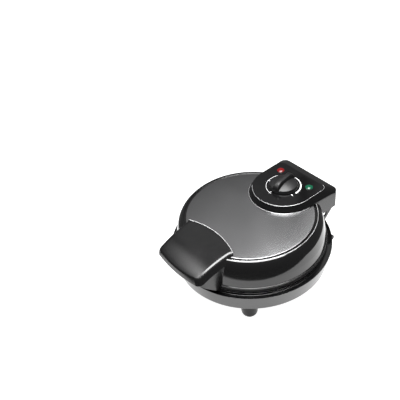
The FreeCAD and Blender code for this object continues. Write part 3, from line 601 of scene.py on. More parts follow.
# Finishes
@dataclass(frozen=True)
class Finish:
    """What every finish has: a colour, a gloss and the marks of use on it."""

    colour: Colour
    worn_colour: Colour = (0.2, 0.2, 0.2)
    metallic: float = 0.0
    gloss: Point = (0.2, 0.3)
    smudge_scale: float = 30.0
    grain_scale: float = 900.0
    grain_depth: float = 0.0
    speckle: float = 0.0
    wear: float = 0.1
    dust: float = 0.0
    ior: float = 1.5
    coat: float = 0.0
    coat_roughness: float = 0.05
    sheen: float = 0.0

    def material(self, name: str, effects: Effects) -> bpy.types.Material:
        """Build the finish as a material.

        Args:
            name: the material's name.
            effects: the shared node groups.

        Returns:
            The new material.
        """
        material = bpy.data.materials.new(name)
        material.use_nodes = True
        graph = Graph(material.node_tree)
        shader = graph.tree.nodes["Principled BSDF"]
        for socket, value in (("Metallic", self.metallic), ("IOR", self.ior), ("Coat Weight", self.coat),
                              ("Coat Roughness", self.coat_roughness), ("Sheen Weight", self.sheen)):
            shader.inputs[socket].default_value = value
        graph.wire(self.gloss_value(graph, effects), shader.inputs["Roughness"])
        graph.wire(self.colour_value(graph, effects), shader.inputs["Base Color"])
        self.relief(graph, effects, shader)
        self.extra(graph, shader)
        return material

    @staticmethod
    def group(graph: Graph, effects: Effects, effect: Effect, **values: float) -> bpy.types.Node:
        """Place a shared effect in the material.

        Args:
            graph: the material's graph.
            effects: the shared node groups.
            effect: the effect to place.
            values: numbers for its inputs, named in lower case.

        Returns:
            The group's node.
        """
        node = graph.node("ShaderNodeGroup", node_tree=effects.groups[effect])
        for key, value in values.items():
            node.inputs[key.capitalize()].default_value = value
        return node

    def gloss_value(self, graph: Graph, effects: Effects) -> bpy.types.NodeSocket:
        """Roughness that varies with handling.

        Args:
            graph: the material's graph.
            effects: the shared node groups.

        Returns:
            The roughness's socket.
        """
        low, high = self.gloss
        return self.group(graph, effects, Effect.SMUDGES, scale=self.smudge_scale, low=low,
                          high=high).outputs["Roughness"]

    @staticmethod
    def mixed(graph: Graph, mask: bpy.types.NodeSocket, under: bpy.types.NodeSocket | Colour,
              over: Colour) -> bpy.types.NodeSocket:
        """Lay one colour over another by a mask.

        Args:
            graph: the material's graph.
            mask: where the upper colour shows.
            under: the lower colour, or a socket that gives it.
            over: the upper colour.

        Returns:
            The mixed colour's socket.
        """
        node = graph.node("ShaderNodeMix", data_type="RGBA")
        graph.wire(mask, node.inputs["Factor"])
        if isinstance(under, bpy.types.NodeSocket):
            graph.wire(under, node.inputs["A"])
        else:
            node.inputs["A"].default_value = (*under, 1.0)
        node.inputs["B"].default_value = (*over, 1.0)
        return node.outputs["Result"]

    def colour_value(self, graph: Graph, effects: Effects) -> bpy.types.NodeSocket:
        """Colour with rubbed edges, specks and settled dust.

        Args:
            graph: the material's graph.
            effects: the shared node groups.

        Returns:
            The colour's socket.
        """
        rubbed = self.group(graph, effects, Effect.EDGE_WEAR, amount=self.wear)
        colour = self.mixed(graph, rubbed.outputs["Mask"], self.colour, self.worn_colour)
        if self.speckle > 0:
            grain = self.group(graph, effects, Effect.GRAIN, scale=self.grain_scale)
            specks = graph.sum("MULTIPLY", grain.outputs["Speckle"], self.speckle)
            colour = self.mixed(graph, specks, colour, self.worn_colour)
        if self.dust > 0:
            film = self.group(graph, effects, Effect.DUST, amount=self.dust)
            colour = self.mixed(graph, film.outputs["Mask"], colour, DUST_COLOUR)
        return colour

    def relief(self, graph: Graph, effects: Effects, shader: bpy.types.Node) -> None:
        """Bump of the finish's own skin.

        Args:
            graph: the material's graph.
            effects: the shared node groups.
            shader: the shader whose normal it feeds.
        """
        if self.grain_depth <= 0:
            return
        grain = self.group(graph, effects, Effect.GRAIN, scale=self.grain_scale)
        self.bump(graph, grain.outputs["Height"], shader)

    def bump(self, graph: Graph, height: bpy.types.NodeSocket, shader: bpy.types.Node) -> None:
        """Feed a height to the shader's normal.

        Args:
            graph: the material's graph.
            height: the height's socket.
            shader: the shader.
        """
        bump = graph.node("ShaderNodeBump")
        bump.inputs["Strength"].default_value = self.grain_depth
        bump.inputs["Distance"].default_value = BUMP_DISTANCE
        graph.wire(height, bump.inputs["Height"])
        graph.wire(bump.outputs["Normal"], shader.inputs["Normal"])

    def extra(self, graph: Graph, shader: bpy.types.Node) -> None:
        """Settings that only some finishes have."""


@dataclass(frozen=True)
class BrushedSheet(Finish):
    """Stainless sheet with straight brush lines."""

    along: float = 18.0
    across: float = 2600.0
    anisotropy: float = 0.5
    streak: float = 0.12

    def colour_value(self, graph: Graph, effects: Effects) -> bpy.types.NodeSocket:
        """Steel colour with faint streaks along the brushing.

        Args:
            graph: the material's graph.
            effects: the shared node groups.

        Returns:
            The colour's socket.
        """
        lines = self.group(graph, effects, Effect.BRUSH_LINES, along=self.along, across=self.across)
        streaks = graph.sum("MULTIPLY", lines.outputs["Streak"], self.streak)
        return self.mixed(graph, streaks, self.colour, self.worn_colour)

    def relief(self, graph: Graph, effects: Effects, shader: bpy.types.Node) -> None:
        """Bump of the brush lines."""
        lines = self.group(graph, effects, Effect.BRUSH_LINES, along=self.along, across=self.across)
        self.bump(graph, lines.outputs["Height"], shader)

    def extra(self, graph: Graph, shader: bpy.types.Node) -> None:
        """Highlights drawn out across the brushing.

        Args:
            graph: the material's graph.
            shader: its shader.
        """
        shader.inputs["Anisotropic"].default_value = self.anisotropy
        if self.anisotropy:
            lie = graph.node("ShaderNodeTangent", direction_type="UV_MAP", uv_map=BRUSHING)
            graph.wire(lie.outputs["Tangent"], shader.inputs["Tangent"])


@dataclass(frozen=True)
class ClearLens(Finish):
    """Tinted clear plastic with a little light of its own."""

    glow: float = 0.15

    def extra(self, graph: Graph, shader: bpy.types.Node) -> None:
        """Light that the lamp behind sends through."""
        shader.inputs["Emission Color"].default_value = (*self.colour, 1.0)
        shader.inputs["Emission Strength"].default_value = self.glow


FINISHES: dict[Slot | Look, Finish] = {
    Slot.GLOSS_BLACK: Finish((0.0022, 0.0022, 0.0024), (0.02, 0.02, 0.02), gloss=(0.05, 0.09), smudge_scale=28.0,
                             wear=0.15, dust=0.002, ior=1.6, coat=0.2, coat_roughness=0.04),
    Slot.SATIN_BLACK: Finish((0.0028, 0.0028, 0.003), (0.025, 0.025, 0.025), gloss=(0.26, 0.34), grain_depth=0.08,
                             grain_scale=1400.0, wear=0.2, dust=0.003, ior=1.5),
    Slot.FOOT_PLASTIC: Finish((0.004, 0.004, 0.0042), (0.03, 0.03, 0.03), gloss=(0.2, 0.28), grain_depth=0.06,
                              grain_scale=1200.0, wear=0.2, ior=1.32),
    Slot.RUBBER: Finish((0.022, 0.022, 0.022), (0.05, 0.05, 0.05), gloss=(0.7, 0.85), grain_depth=0.25,
                        grain_scale=1600.0, sheen=0.1),
    Slot.KNOB_PLASTIC: Finish((0.0035, 0.0035, 0.0037), (0.03, 0.03, 0.03), gloss=(0.38, 0.46), grain_depth=0.06,
                              grain_scale=1500.0, wear=0.25, ior=1.5),
    Slot.BRUSHED_STEEL: BrushedSheet((0.31, 0.31, 0.315), (0.41, 0.41, 0.415), metallic=1.0, gloss=(0.24, 0.28),
                                     smudge_scale=14.0, grain_depth=0.025),
    Slot.NON_STICK: Finish((0.055, 0.055, 0.057), (0.16, 0.16, 0.16), metallic=0.25, gloss=(0.26, 0.34),
                           grain_depth=0.12, grain_scale=1100.0, speckle=0.25, wear=0.2, ior=1.5),
    Slot.HINGE_STEEL: Finish((0.62, 0.62, 0.63), (0.75, 0.75, 0.75), metallic=1.0, gloss=(0.18, 0.28), wear=0.2,
                             grain_depth=0.03),
    Slot.SCREW_STEEL: Finish((0.56, 0.55, 0.52), (0.7, 0.7, 0.7), metallic=1.0, gloss=(0.25, 0.4), wear=0.3,
                             grain_depth=0.04),
    Slot.ELEMENT_SHEATH: Finish((0.13, 0.12, 0.11), (0.3, 0.27, 0.23), metallic=0.8, gloss=(0.45, 0.6), speckle=0.4,
                                grain_depth=0.1, grain_scale=700.0),
    Slot.SHIELD_SHEET: BrushedSheet((0.66, 0.66, 0.67), (0.78, 0.78, 0.78), metallic=1.0, gloss=(0.3, 0.42),
                                    grain_depth=0.05, anisotropy=0.0),
    Slot.CERAMIC: Finish((0.78, 0.75, 0.69), (0.6, 0.56, 0.5), gloss=(0.55, 0.7), grain_depth=0.15, speckle=0.3,
                         grain_scale=800.0),
    Slot.WIRE_SLEEVE: Finish((0.7, 0.67, 0.6), (0.5, 0.47, 0.42), gloss=(0.7, 0.85), grain_depth=0.3, speckle=0.4,
                             grain_scale=1800.0, sheen=0.2),
    Slot.THERMOSTAT_CASE: Finish((0.09, 0.045, 0.028), (0.2, 0.12, 0.08), gloss=(0.4, 0.5), grain_depth=0.1,
                                 speckle=0.3),
    Slot.RED_LENS: ClearLens((0.12, 0.002, 0.003), (0.3, 0.04, 0.04), gloss=(0.1, 0.15), glow=0.15),
    Slot.GREEN_LENS: ClearLens((0.0, 0.06, 0.028), (0.03, 0.18, 0.1), gloss=(0.1, 0.15), glow=0.15),
    Slot.LAMP_GLASS: ClearLens((0.8, 0.55, 0.4), (0.9, 0.8, 0.7), gloss=(0.05, 0.1), glow=0.05),
    Look.DARK_SATIN: Finish((0.002, 0.002, 0.0022), (0.02, 0.02, 0.02), gloss=(0.3, 0.38), grain_depth=0.08,
                            grain_scale=1400.0, wear=0.2, ior=1.3),
    Look.PANEL_GLOSS: Finish((0.0022, 0.0022, 0.0024), (0.02, 0.02, 0.02), gloss=(0.1, 0.15), smudge_scale=40.0,
                             wear=0.2, dust=0.003, ior=1.5),
    Look.SOFT_GLOSS: Finish((0.0022, 0.0022, 0.0024), (0.02, 0.02, 0.02), gloss=(0.19, 0.24), smudge_scale=28.0,
                            wear=0.15, dust=0.002, ior=1.6),
    # painted highlight: near-white rough metal, so that the beads read as bright highlight lines
    Look.PAINTED_HIGHLIGHT_LIP: Finish((0.9, 0.9, 0.91), (0.8, 0.8, 0.8), metallic=1.0, gloss=(0.42, 0.5), grain_depth=0.02),
    Look.WHITE_PRINT: Finish((0.8, 0.8, 0.8), (0.5, 0.5, 0.5), gloss=(0.4, 0.5), speckle=0.05, grain_scale=2500.0,
                             grain_depth=0.03),
    Look.PALE_FLOOR: Finish((0.3, 0.3, 0.3), (0.28, 0.28, 0.28), gloss=(0.55, 0.65), smudge_scale=2.0,
                            speckle=0.05),
}


@dataclass
class Shelf:
    """Materials by finish, made when first asked for."""

    effects: Effects
    made: dict[Slot | Look, bpy.types.Material] = field(default_factory=dict)

    def take(self, choice: Slot | Look) -> bpy.types.Material:
        """Material of a finish.

        Args:
            choice: which finish.

        Returns:
            The material, built if it isn't made yet.
        """
        if choice not in self.made:
            self.made[choice] = FINISHES[choice].material(choice.value, self.effects)
        return self.made[choice]


# Sub-assemblies
@dataclass
class Assembly:
    """Pieces that ride on one body."""

    shelf: Shelf
    body: Body = Body.BASE

    def settle(self, piece: bpy.types.Object, slot: Slot, *nodes: str, look: Look | None = None) -> None:
        """Dress a piece, set it on its body and let it stand for nodes of the frame.

        Args:
            piece: the new piece.
            slot: the slot it takes.
            nodes: the nodes that it stands for.
            look: its own finish, where that differs from the slot's.
        """
        self.trim(piece, look or slot)
        if nodes:
            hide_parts(*nodes)

    def trim(self, piece: bpy.types.Object, choice: Slot | Look) -> None:
        """Dress a piece and set it on its body.

        Args:
            piece: the new piece.
            choice: its finish.
        """
        piece.data.materials.append(self.shelf.take(choice))
        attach(piece, self.body.value)
        log.info("%s rides on %s", piece.name, self.body.value)


@dataclass
class CarriedNodes(Assembly):
    """The frame's own nodes, which keep their shape and get their finish here."""

    edge_width: float = 0.5
    soft_nodes: tuple[str, ...] = ("hinge_skirt", "cord_gland", "cord_hook_left", "cord_hook_right")
    looks: tuple[tuple[str, Look], ...] = (("cord_hook_left", Look.DARK_SATIN), ("cord_hook_right", Look.DARK_SATIN),
                                           ("hinge_skirt", Look.SOFT_GLOSS))

    def build(self) -> None:
        """Dress every node by the slot that the record gives it."""
        looks = dict(self.looks)
        for row in frame["record"]["subparts"]:
            name = row["node"]
            node = frame["nodes"][name]
            node.data.materials.clear()
            node.data.materials.append(self.shelf.take(looks.get(name) or Slot(row["material_slot"])))
            if name in self.soft_nodes:
                soften_edges(node, self.edge_width, weld=True)
        log.info("%d nodes dressed", len(frame["nodes"]))


@dataclass
class BaseShell(Assembly):
    """Bowl of the base on its four feet."""

    foot_radius: float = 101.06
    foot_edge_round: float = 2.0
    inner_edge_round: float = 0.5
    rim_radius: float = 106.06
    rim_round: float = 0.15
    ledge_round: float = 0.6
    lip_radius: float = 100.16
    lip_outer_round: float = 0.2
    lip_inner_round: float = 0.3
    groove_radius: float = 99.16
    wall: float = 2.5
    underside: float = 28.0
    wall_top: float = 52.35
    lip_top: float = 55.45
    flange_low: float = 29.4
    flange_high: float = 31.9
    flange_radius: float = 87.56
    foot_place: float = 60.0768
    foot_sink: float = 0.5
    foot_top_radius: float = 12.2
    foot_tip_radius: float = 9.9
    foot_tip_round: float = 6.8
    foot_steps: int = 72
    pad_radius: float = 5.6
    pad_height: float = 2.5
    pad_sink: float = 0.8
    pad_round: float = 1.2
    pad_ring: float = 2.0
    pad_ring_round: float = 0.4
    pad_hollow: float = 0.5
    pad_hollow_slope: float = 0.4
    pad_hollow_round: float = 0.3
    pad_steps: int = 56
    hinge_y: float = 111.06
    hinge_z: float = 64.05
    ear_inner: float = 35.5
    ear_width: float = 2.6
    ear_outline: tuple[Corner, ...] = (
        Corner(-18.5, -21.0, 1.0), Corner(-11.5, -21.0, 2.0), Corner(4.2, -5.0, 3.0), Corner(5.2, 5.6, 4.6),
        Corner(-5.6, 5.6, 4.6), Corner(-7.0, -11.7, 1.0), Corner(-18.5, -11.7, 0.5))
    ear_layers: tuple[Point, ...] = ((0.0, 0.96), (0.15, 1.0), (0.85, 1.0), (1.0, 0.96))

    def build(self) -> None:
        """Make the bowl, the hinge ears, the feet and their pads."""
        self.make_bowl()
        for side in Side:
            self.make_ear(side)
        for end in End:
            for side in Side:
                self.make_foot(end, side)

    def make_bowl(self) -> None:
        """Leaning wall with a dark ledge round the plate."""
        inner = self.foot_radius - self.wall
        corners = [
            Corner(inner, self.underside, self.inner_edge_round),
            Corner(self.foot_radius, self.underside, self.foot_edge_round),
            Corner(self.rim_radius, self.wall_top, self.rim_round),
            Corner(self.lip_radius, self.wall_top, self.ledge_round),
            Corner(self.lip_radius, self.lip_top, self.lip_outer_round),
            Corner(self.groove_radius, self.lip_top, self.lip_inner_round),
            Corner(self.groove_radius, self.wall_top - self.wall),
            Corner(self.rim_radius - self.wall, self.wall_top - self.wall),
            Corner(inner, self.flange_high),
            Corner(self.flange_radius, self.flange_high),
            Corner(self.flange_radius, self.flange_low),
            Corner(inner, self.flange_low)]
        bowl = lathe("base_bowl", softened(corners), segments=ROUND_STEPS)
        self.settle(bowl, Slot.GLOSS_BLACK, "base_housing")

    def make_ear(self, side: Side) -> None:
        """Slim upright ear that carries one end of the hinge pin.

        Args:
            side: the side that it stands on.
        """
        outline = softened(self.ear_outline)
        layers = []
        for share, size in self.ear_layers:
            x = side.value * (self.ear_inner + self.ear_width * share)
            layers.append([(x, self.hinge_y + along * size, self.hinge_z + up * size) for along, up in outline])
        name = side.name.lower()
        self.settle(stacked(f"hinge_ear_{name}", layers), Slot.SATIN_BLACK, f"hinge_bracket_{name}")

    def make_foot(self, end: End, side: Side) -> None:
        """One tapered foot with its pad.

        Args:
            end: the end that it stands at.
            side: the side that it stands on.
        """
        name = f"{end.name}_{side.name}".lower()
        place = (side.value * self.foot_place, end.value * self.foot_place)
        ring = self.pad_radius - self.pad_ring
        leg = [Corner(0.0, self.underside + self.foot_sink),
               Corner(self.foot_top_radius, self.underside + self.foot_sink),
               Corner(self.foot_tip_radius, self.pad_height, self.foot_tip_round),
               Corner(0.0, self.pad_height)]
        pad = [Corner(0.0, self.pad_height + self.pad_sink),
               Corner(self.pad_radius, self.pad_height + self.pad_sink),
               Corner(self.pad_radius, 0.0, self.pad_round),
               Corner(ring, 0.0, self.pad_ring_round),
               Corner(ring - self.pad_hollow_slope, self.pad_hollow, self.pad_hollow_round),
               Corner(0.0, self.pad_hollow)]
        self.settle(lathe(f"leg_{name}", softened(leg, closed=False), place, self.foot_steps, False),
                    Slot.FOOT_PLASTIC, f"foot_{name}")
        self.settle(lathe(f"pad_{name}", softened(pad, closed=False), place, self.pad_steps, False),
                    Slot.RUBBER, f"foot_pad_{name}")


@dataclass
class LidShell(Assembly):
    """Dome of the lid with the steel disc let into its top."""

    body: Body = Body.LID
    rim_radius: float = 98.96
    inner_radius: float = 96.46
    lip: float = 56.6
    lip_round: float = 0.4
    lip_inner_round: float = 0.3
    line_depth: float = 0.9
    line_width: float = 0.7
    line_pitch: float = 2.0
    line_brow_round: float = 0.65
    line_floor_round: float = 0.1
    line_foot_round: float = 0.2
    band_low: float = 62.6
    band_top: float = 73.4
    band_low_radius: float = 97.66
    band_top_radius: float = 96.56
    band_brow_round: float = 0.9
    band_foot_round: float = 0.25
    band_top_round: float = 0.3
    band_step: float = 1.35
    crown_radius: float = 93.36
    crown_height: float = 91.4
    crown_round: float = 20.0
    crown_inner_round: float = 16.0
    top_radius: float = 87.16
    edge_height: float = 97.3
    edge_width: float = 1.2
    edge_brow: float = 0.9
    edge_brow_drop: float = 0.6
    edge_brow_round: float = 1.2
    edge_crest: float = 0.5
    edge_crest_round: float = 0.5
    edge_inner_round: float = 0.2
    edge_reach: float = 57.0
    edge_highlight_lip_inset: float = 0.6
    edge_highlight_lip_sink: float = 0.1
    edge_highlight_lip_radius: float = 0.28
    edge_highlight_lip_steps: int = 40
    lip_sink: float = 0.05
    deck: float = 95.0
    wall: float = 2.5
    ring_width: float = 5.0
    ring_floor: float = 0.5
    ring_brow: float = 1.4
    ring_brow_width: float = 0.9
    ring_foot_width: float = 1.3
    ring_brow_rounds: tuple[float, float, float] = (0.3, 0.4, 0.3)
    ring_seat: float = 1.1
    ring_seat_gap: float = 0.2
    ring_seat_slope: float = 0.8
    disc_radius: float = 82.96
    disc_plane: float = 97.0
    disc_dome: float = 2.0
    disc_fall: float = 3.0
    disc_thickness: float = 0.8
    disc_edge_round: float = 1.1
    disc_edge_steps: int = 8
    disc_hem: float = 0.7
    disc_hem_height: float = 0.6
    disc_steps: int = 40
    disc_under_stride: int = 4
    boss_half: float = 32.3
    boss_front: float = 91.0
    boss_back: float = 106.56
    boss_low: float = 74.05
    boss_high: float = 88.05
    boss_edge: float = 0.6
    nowhere: float = -1000.0

    def build(self) -> None:
        """Make the dome, its hinge boss, the ring round the disc, the disc and the painted highlight line along the
        edge.
        """
        self.make_dome()
        self.make_boss()
        self.make_ring()
        self.make_disc()
        # painted highlight: a bright bead on the right of the top edge only, where the edge's highlight line shows
        self.make_highlight_lip("edge_highlight_lip", self.edge_path(), lambda place: self.edge_height - self.edge_highlight_lip_sink,
                      self.edge_highlight_lip_radius)

    def outside(self) -> list[Corner]:
        """Outer section of the lid.

        Returns:
            Its corners from the lip up to the top edge.
        """
        corners = [Corner(self.rim_radius, self.lip, self.lip_round)]
        deep = self.rim_radius - self.line_depth
        for line in (1, 2):
            low = self.lip + line * self.line_pitch - self.line_width
            high = low + self.line_width
            corners += [Corner(self.rim_radius, low, self.line_brow_round),
                        Corner(deep, low, self.line_floor_round),
                        Corner(deep, high, self.line_floor_round),
                        Corner(self.rim_radius, high, self.line_foot_round)]
        return corners + [
            Corner(self.rim_radius, self.band_low, self.band_brow_round),
            Corner(self.band_low_radius, self.band_low, self.band_foot_round),
            Corner(self.band_top_radius, self.band_top, self.band_top_round),
            Corner(self.crown_radius, self.crown_height, self.crown_round),
            Corner(self.top_radius + self.edge_brow, self.edge_height - self.edge_brow_drop, self.edge_brow_round),
            Corner(self.top_radius - self.edge_crest, self.edge_height, self.edge_crest_round),
            Corner(self.top_radius - self.edge_width, self.edge_height, self.edge_inner_round)]

    def height_at(self, radius: float) -> float:
        """Height of the lid's top.

        Args:
            radius: distance from the lid's axis.

        Returns:
            The height there, far below the lid where it ends.
        """
        if radius <= self.disc_radius:
            return self.disc_plane + self.disc_dome * (1 - (radius / self.disc_radius) ** self.disc_fall)
        points = softened(self.outside(), closed=False)
        best = self.deck if radius < self.top_radius else self.nowhere
        for (r0, z0), (r1, z1) in zip(points, points[1:]):
            if min(r0, r1) <= radius <= max(r0, r1) and abs(r1 - r0) > TINY:
                best = max(best, z0 + (z1 - z0) * (radius - r0) / (r1 - r0))
        return best

    def make_dome(self) -> None:
        """Stepped rim, upright band, round shoulder and top edge in one turned shell."""
        corners = self.outside() + [
            Corner(self.top_radius - self.edge_width, self.deck),
            Corner(self.top_radius - 2 * self.wall, self.deck - self.wall),
            Corner(self.crown_radius - self.wall, self.crown_height - self.wall, self.crown_inner_round),
            Corner(self.band_top_radius - self.wall, self.band_top),
            Corner(self.band_low_radius - self.wall, self.band_low),
            Corner(self.inner_radius, self.band_low - self.band_step),
            Corner(self.inner_radius, self.lip, self.lip_inner_round)]
        dome = lathe("lid_dome", softened(corners), segments=ROUND_STEPS)
        self.settle(dome, Slot.GLOSS_BLACK, "lid_housing")

    def make_boss(self) -> None:
        """Block at the back of the dome that the hinge leaves are screwed to."""
        edge = self.boss_edge
        loops = []
        for height, inset in ((self.boss_low, edge), (self.boss_low + edge, 0.0), (self.boss_high - edge, 0.0),
                              (self.boss_high, edge)):
            half, back = self.boss_half - inset, self.boss_back - inset
            loops.append([(-half, self.boss_front, height), (half, self.boss_front, height), (half, back, height),
                          (-half, back, height)])
        self.settle(stacked("lid_hinge_boss", loops), Slot.GLOSS_BLACK)

    def make_highlight_lip(self, name: str, path: Sequence[Point], level: Callable[[Point], float], radius: float) -> None:
        """Thin near-white bead along an edge, a painted highlight line.

        Args:
            name: the lip's name.
            path: plan points that it runs along.
            level: level of its underside at a plan point.
            radius: the lip's radius.
        """
        self.trim(bead(name, path, level, radius), Look.PAINTED_HIGHLIGHT_LIP)

    def on_top(self, place: Point) -> float:
        """Level just under the lid's top at a plan point."""
        return self.height_at(math.hypot(*place)) - self.lip_sink

    def edge_path(self) -> list[Point]:
        """Path of the painted highlight line along the right of the lid's top edge.

        Returns:
            Its plan points, from the handle to the control panel.
        """
        radius, steps = self.top_radius - self.edge_highlight_lip_inset, self.edge_highlight_lip_steps
        turns = [math.radians(self.edge_reach * step / steps) for step in range(-steps, steps + 1)]
        return [(radius * math.cos(turn), radius * math.sin(turn)) for turn in turns]

    def make_ring(self) -> None:
        """Black ring whose groove sets the disc off."""
        outer = self.top_radius - self.edge_width
        inner = self.disc_radius - self.ring_width
        gap = self.disc_radius + self.ring_seat_gap
        floor, brow, seat = (self.deck + rise for rise in (self.ring_floor, self.ring_brow, self.ring_seat))
        brow_out, brow_in, foot = self.ring_brow_rounds
        corners = [Corner(inner, self.deck), Corner(outer, self.deck), Corner(outer, brow, brow_out),
                   Corner(outer - self.ring_brow_width, brow, brow_in),
                   Corner(outer - self.ring_foot_width, floor, foot), Corner(gap, floor),
                   Corner(gap - self.ring_seat_slope, seat), Corner(inner, seat)]
        ring = lathe("disc_surround", softened(corners), segments=ROUND_STEPS)
        self.settle(ring, Slot.GLOSS_BLACK, "lid_bezel")

    def make_disc(self) -> None:
        """Brushed disc, slightly domed, with its edge rolled down."""
        steps = self.disc_steps
        reach = self.disc_radius - self.disc_edge_round
        spots = [reach * step / steps for step in range(steps + 1)]
        top = [(radius, self.height_at(radius)) for radius in spots]
        brow = top[-1][1]
        for step in range(1, self.disc_edge_steps + 1):
            turn = math.pi / 2 * step / self.disc_edge_steps
            top.append((reach + self.disc_edge_round * math.sin(turn),
                        brow - self.disc_edge_round * (1 - math.cos(turn))))
        hem = self.deck + self.disc_hem_height
        under = [(self.disc_radius, hem), (self.disc_radius - self.disc_hem, hem)]
        under += [(radius, height - self.disc_thickness)
                  for radius, height in reversed(top[:steps:self.disc_under_stride])]
        disc = lathe("top_disc", top + under, segments=ROUND_STEPS, closed=False)
        grain = disc.data.uv_layers.new(name=BRUSHING)
        for corner, spot in zip(disc.data.loops, grain.data):
            place = disc.data.vertices[corner.vertex_index].co
            spot.uv = (place.y, place.x)
        self.settle(disc, Slot.BRUSHED_STEEL, "lid_disc")


@dataclass
class Handle(Assembly):
    """Wide visor at the front and the shell that closes it from below."""

    lid: LidShell | None = None
    body: Body = Body.LID
    inner: float = -56.96
    end: float = -123.96
    inner_bow: float = 11.0
    outer_bow: float = 4.0
    half_width: float = 46.0
    taper: float = 3.0
    corner: float = 9.0
    corner_least: float = 2.0
    depth: float = 8.0
    curve: tuple[Point, Point, Point] = ((-45.96, 100.6), (-90.46, 98.1), (-134.96, 80.6))
    flare: float = 5.5
    crest_round: float = 6.0
    crest_reach: float = 12.0
    end_crest: tuple[float, float, float] = (0.8, 1.8, 6.0)
    inner_crest: tuple[float, float, float] = (0.3, 0.9, 5.0)
    crest_step: float = 7.0
    inner_steps: int = 40
    side_steps: int = 20
    corner_steps: int = 12
    end_steps: int = 30
    middle_shift: float = -3.0
    under_shares: tuple[float, ...] = (0.05, 0.3, 0.6, 0.85, 0.97)
    top_shares: tuple[float, ...] = (0.95, 0.85, 0.75, 0.65, 0.55, 0.45, 0.35, 0.25, 0.15, 0.05)
    visor_crease: float = 38.0
    seat_sink: float = 0.05
    lip_radius: float = 0.4
    lip_overlap: float = 1.5
    lip_inset: float = 0.1
    lip_sink: float = 0.45
    lip_steps: int = 30
    shell_inset: float = 1.0
    shell_overlap: float = 0.3
    shell_edge: float = 0.5
    shell_edge_angle: float = 40.0
    shell_seat_sink: float = 0.4
    floor_low: float = 57.8
    heel: float = -95.96
    floor_rise: float = 0.95
    floor_lip: float = 1.5
    seat_radius: float = 91.0
    recess: float = 1.2
    recess_share: float = 0.8
    recess_side_step: float = 0.012
    recess_clear: float = 0.03
    recess_depths: Point = (0.32, 0.86)
    recess_end_step: float = 0.02
    columns: int = 56
    rows: int = 56

    def build(self) -> None:
        """Make the visor and its lower shell."""
        self.make_visor()
        self.make_shell()

    def top_at(self, y: float) -> float:
        """Height of the visor's top at a plan depth."""
        (cy, cz), radius = ring_through(*self.curve)
        return cz + math.sqrt(radius ** 2 - (y - cy) ** 2)

    @staticmethod
    def bowed(x: float, half: float, bow: float) -> float:
        """Depth by which an edge of a given half width has bowed back at a place across it."""
        radius = (half ** 2 + bow ** 2) / (2 * bow)
        return radius - math.sqrt(max(radius ** 2 - x ** 2, 0.0))

    def half_at(self, y: float, inset: float) -> float:
        """Half width of the handle.

        Args:
            y: plan depth.
            inset: how far the plan is drawn in.

        Returns:
            The half width there.
        """
        inner_side = self.inner - self.inner_bow
        outer_side = self.end + self.outer_bow
        share = (y - outer_side) / (inner_side - outer_side)
        return self.half_width - self.taper * (1 - min(share, 1.0)) - inset

    def outer_at(self, share: float, inset: float) -> float:
        """Plan depth of the outer edge, with its corners rounded.

        Args:
            share: share of the half width, from -1 to 1.
            inset: how far the plan is drawn in.

        Returns:
            The plan depth there.
        """
        half = self.half_width - self.taper - inset
        corner = self.corner - inset
        x = abs(share) * half
        past = max(x - (half - corner), 0.0)
        rounding = corner - math.sqrt(max(corner ** 2 - past ** 2, 0.0))
        return self.end + inset + self.bowed(x, half, self.outer_bow) + rounding

    def grid(self, shares: Sequence[float], depths: Sequence[float]) -> list[list[Point]]:
        """Plan points of the lower shell, between the lid and the outer edge.

        Args:
            shares: places across, from -1 to 1.
            depths: places from the inner to the outer edge, from 0 to 1.

        Returns:
            Rows of plan points.
        """
        inset = self.shell_inset
        rows = []
        for depth in depths:
            row = []
            for share in shares:
                start = -math.sqrt(self.seat_radius ** 2 - (share * (self.half_width - inset)) ** 2)
                y = start + (self.outer_at(share, inset) - start) * depth
                row.append((share * self.half_at(y, inset), y))
            rows.append(row)
        return rows

    def spread(self) -> list[float]:
        """Places across, closer together near the sides."""
        return [math.sin(math.pi * (column / self.columns - 0.5)) for column in range(self.columns + 1)]

    def inner_edge(self, x: float) -> float:
        """Plan depth of the visor's inner edge at a place across."""
        return self.inner - self.bowed(x, self.half_width, self.inner_bow)

    def outline(self, side: float, end: float, inner: float) -> list[Point]:
        """Plan of the visor, drawn in by different amounts.

        Args:
            side: inset of the sides.
            end: inset of the outer end.
            inner: inset of the inner edge.

        Returns:
            The outline's points, always as many.
        """
        wide = self.half_width - side
        slant = self.taper / (self.inner - self.inner_bow - self.end - self.outer_bow)
        corner = max(self.corner - (side + end) / 2, self.corner_least)
        points: list[Point] = []
        for step in range(self.inner_steps + 1):
            x = wide * (2 * step / self.inner_steps - 1)
            points.append((x, self.inner_edge(x) - inner))
        brow = self.inner_edge(wide) - inner
        narrow = wide - slant * (brow - self.end - self.outer_bow)
        tail = self.end + end + self.bowed(narrow - corner, narrow, self.outer_bow) + corner
        right: list[Point] = []
        for step in range(1, self.side_steps + 1):
            y = brow + (tail - brow) * step / self.side_steps
            right.append((wide - slant * (brow - y), y))
        hub = right[-1][0] - corner
        for step in range(1, self.corner_steps + 1):
            turn = math.pi / 2 * step / self.corner_steps
            right.append((hub + corner * math.cos(turn), tail - corner * math.sin(turn)))
        points += right
        for step in range(1, self.end_steps):
            x = hub * (1 - 2 * step / self.end_steps)
            sag = self.bowed(hub, narrow, self.outer_bow) - self.bowed(x, narrow, self.outer_bow)
            points.append((x, tail - corner - sag))
        return points + [(-x, y) for x, y in reversed(right)]

    def crest(self, lean: float, rounding: float, reach: float) -> list[Point]:
        """Section over one edge of the visor.

        Args:
            lean: how far its side leans in.
            rounding: radius of its crest.
            reach: how far in the section goes.

        Returns:
            Points of the inset and the drop below the top curve, from the hem up.
        """
        corners = [Corner(0.0, self.depth), Corner(lean, 0.0, rounding), Corner(reach, 0.0)]
        return softened(corners, False, self.crest_step)

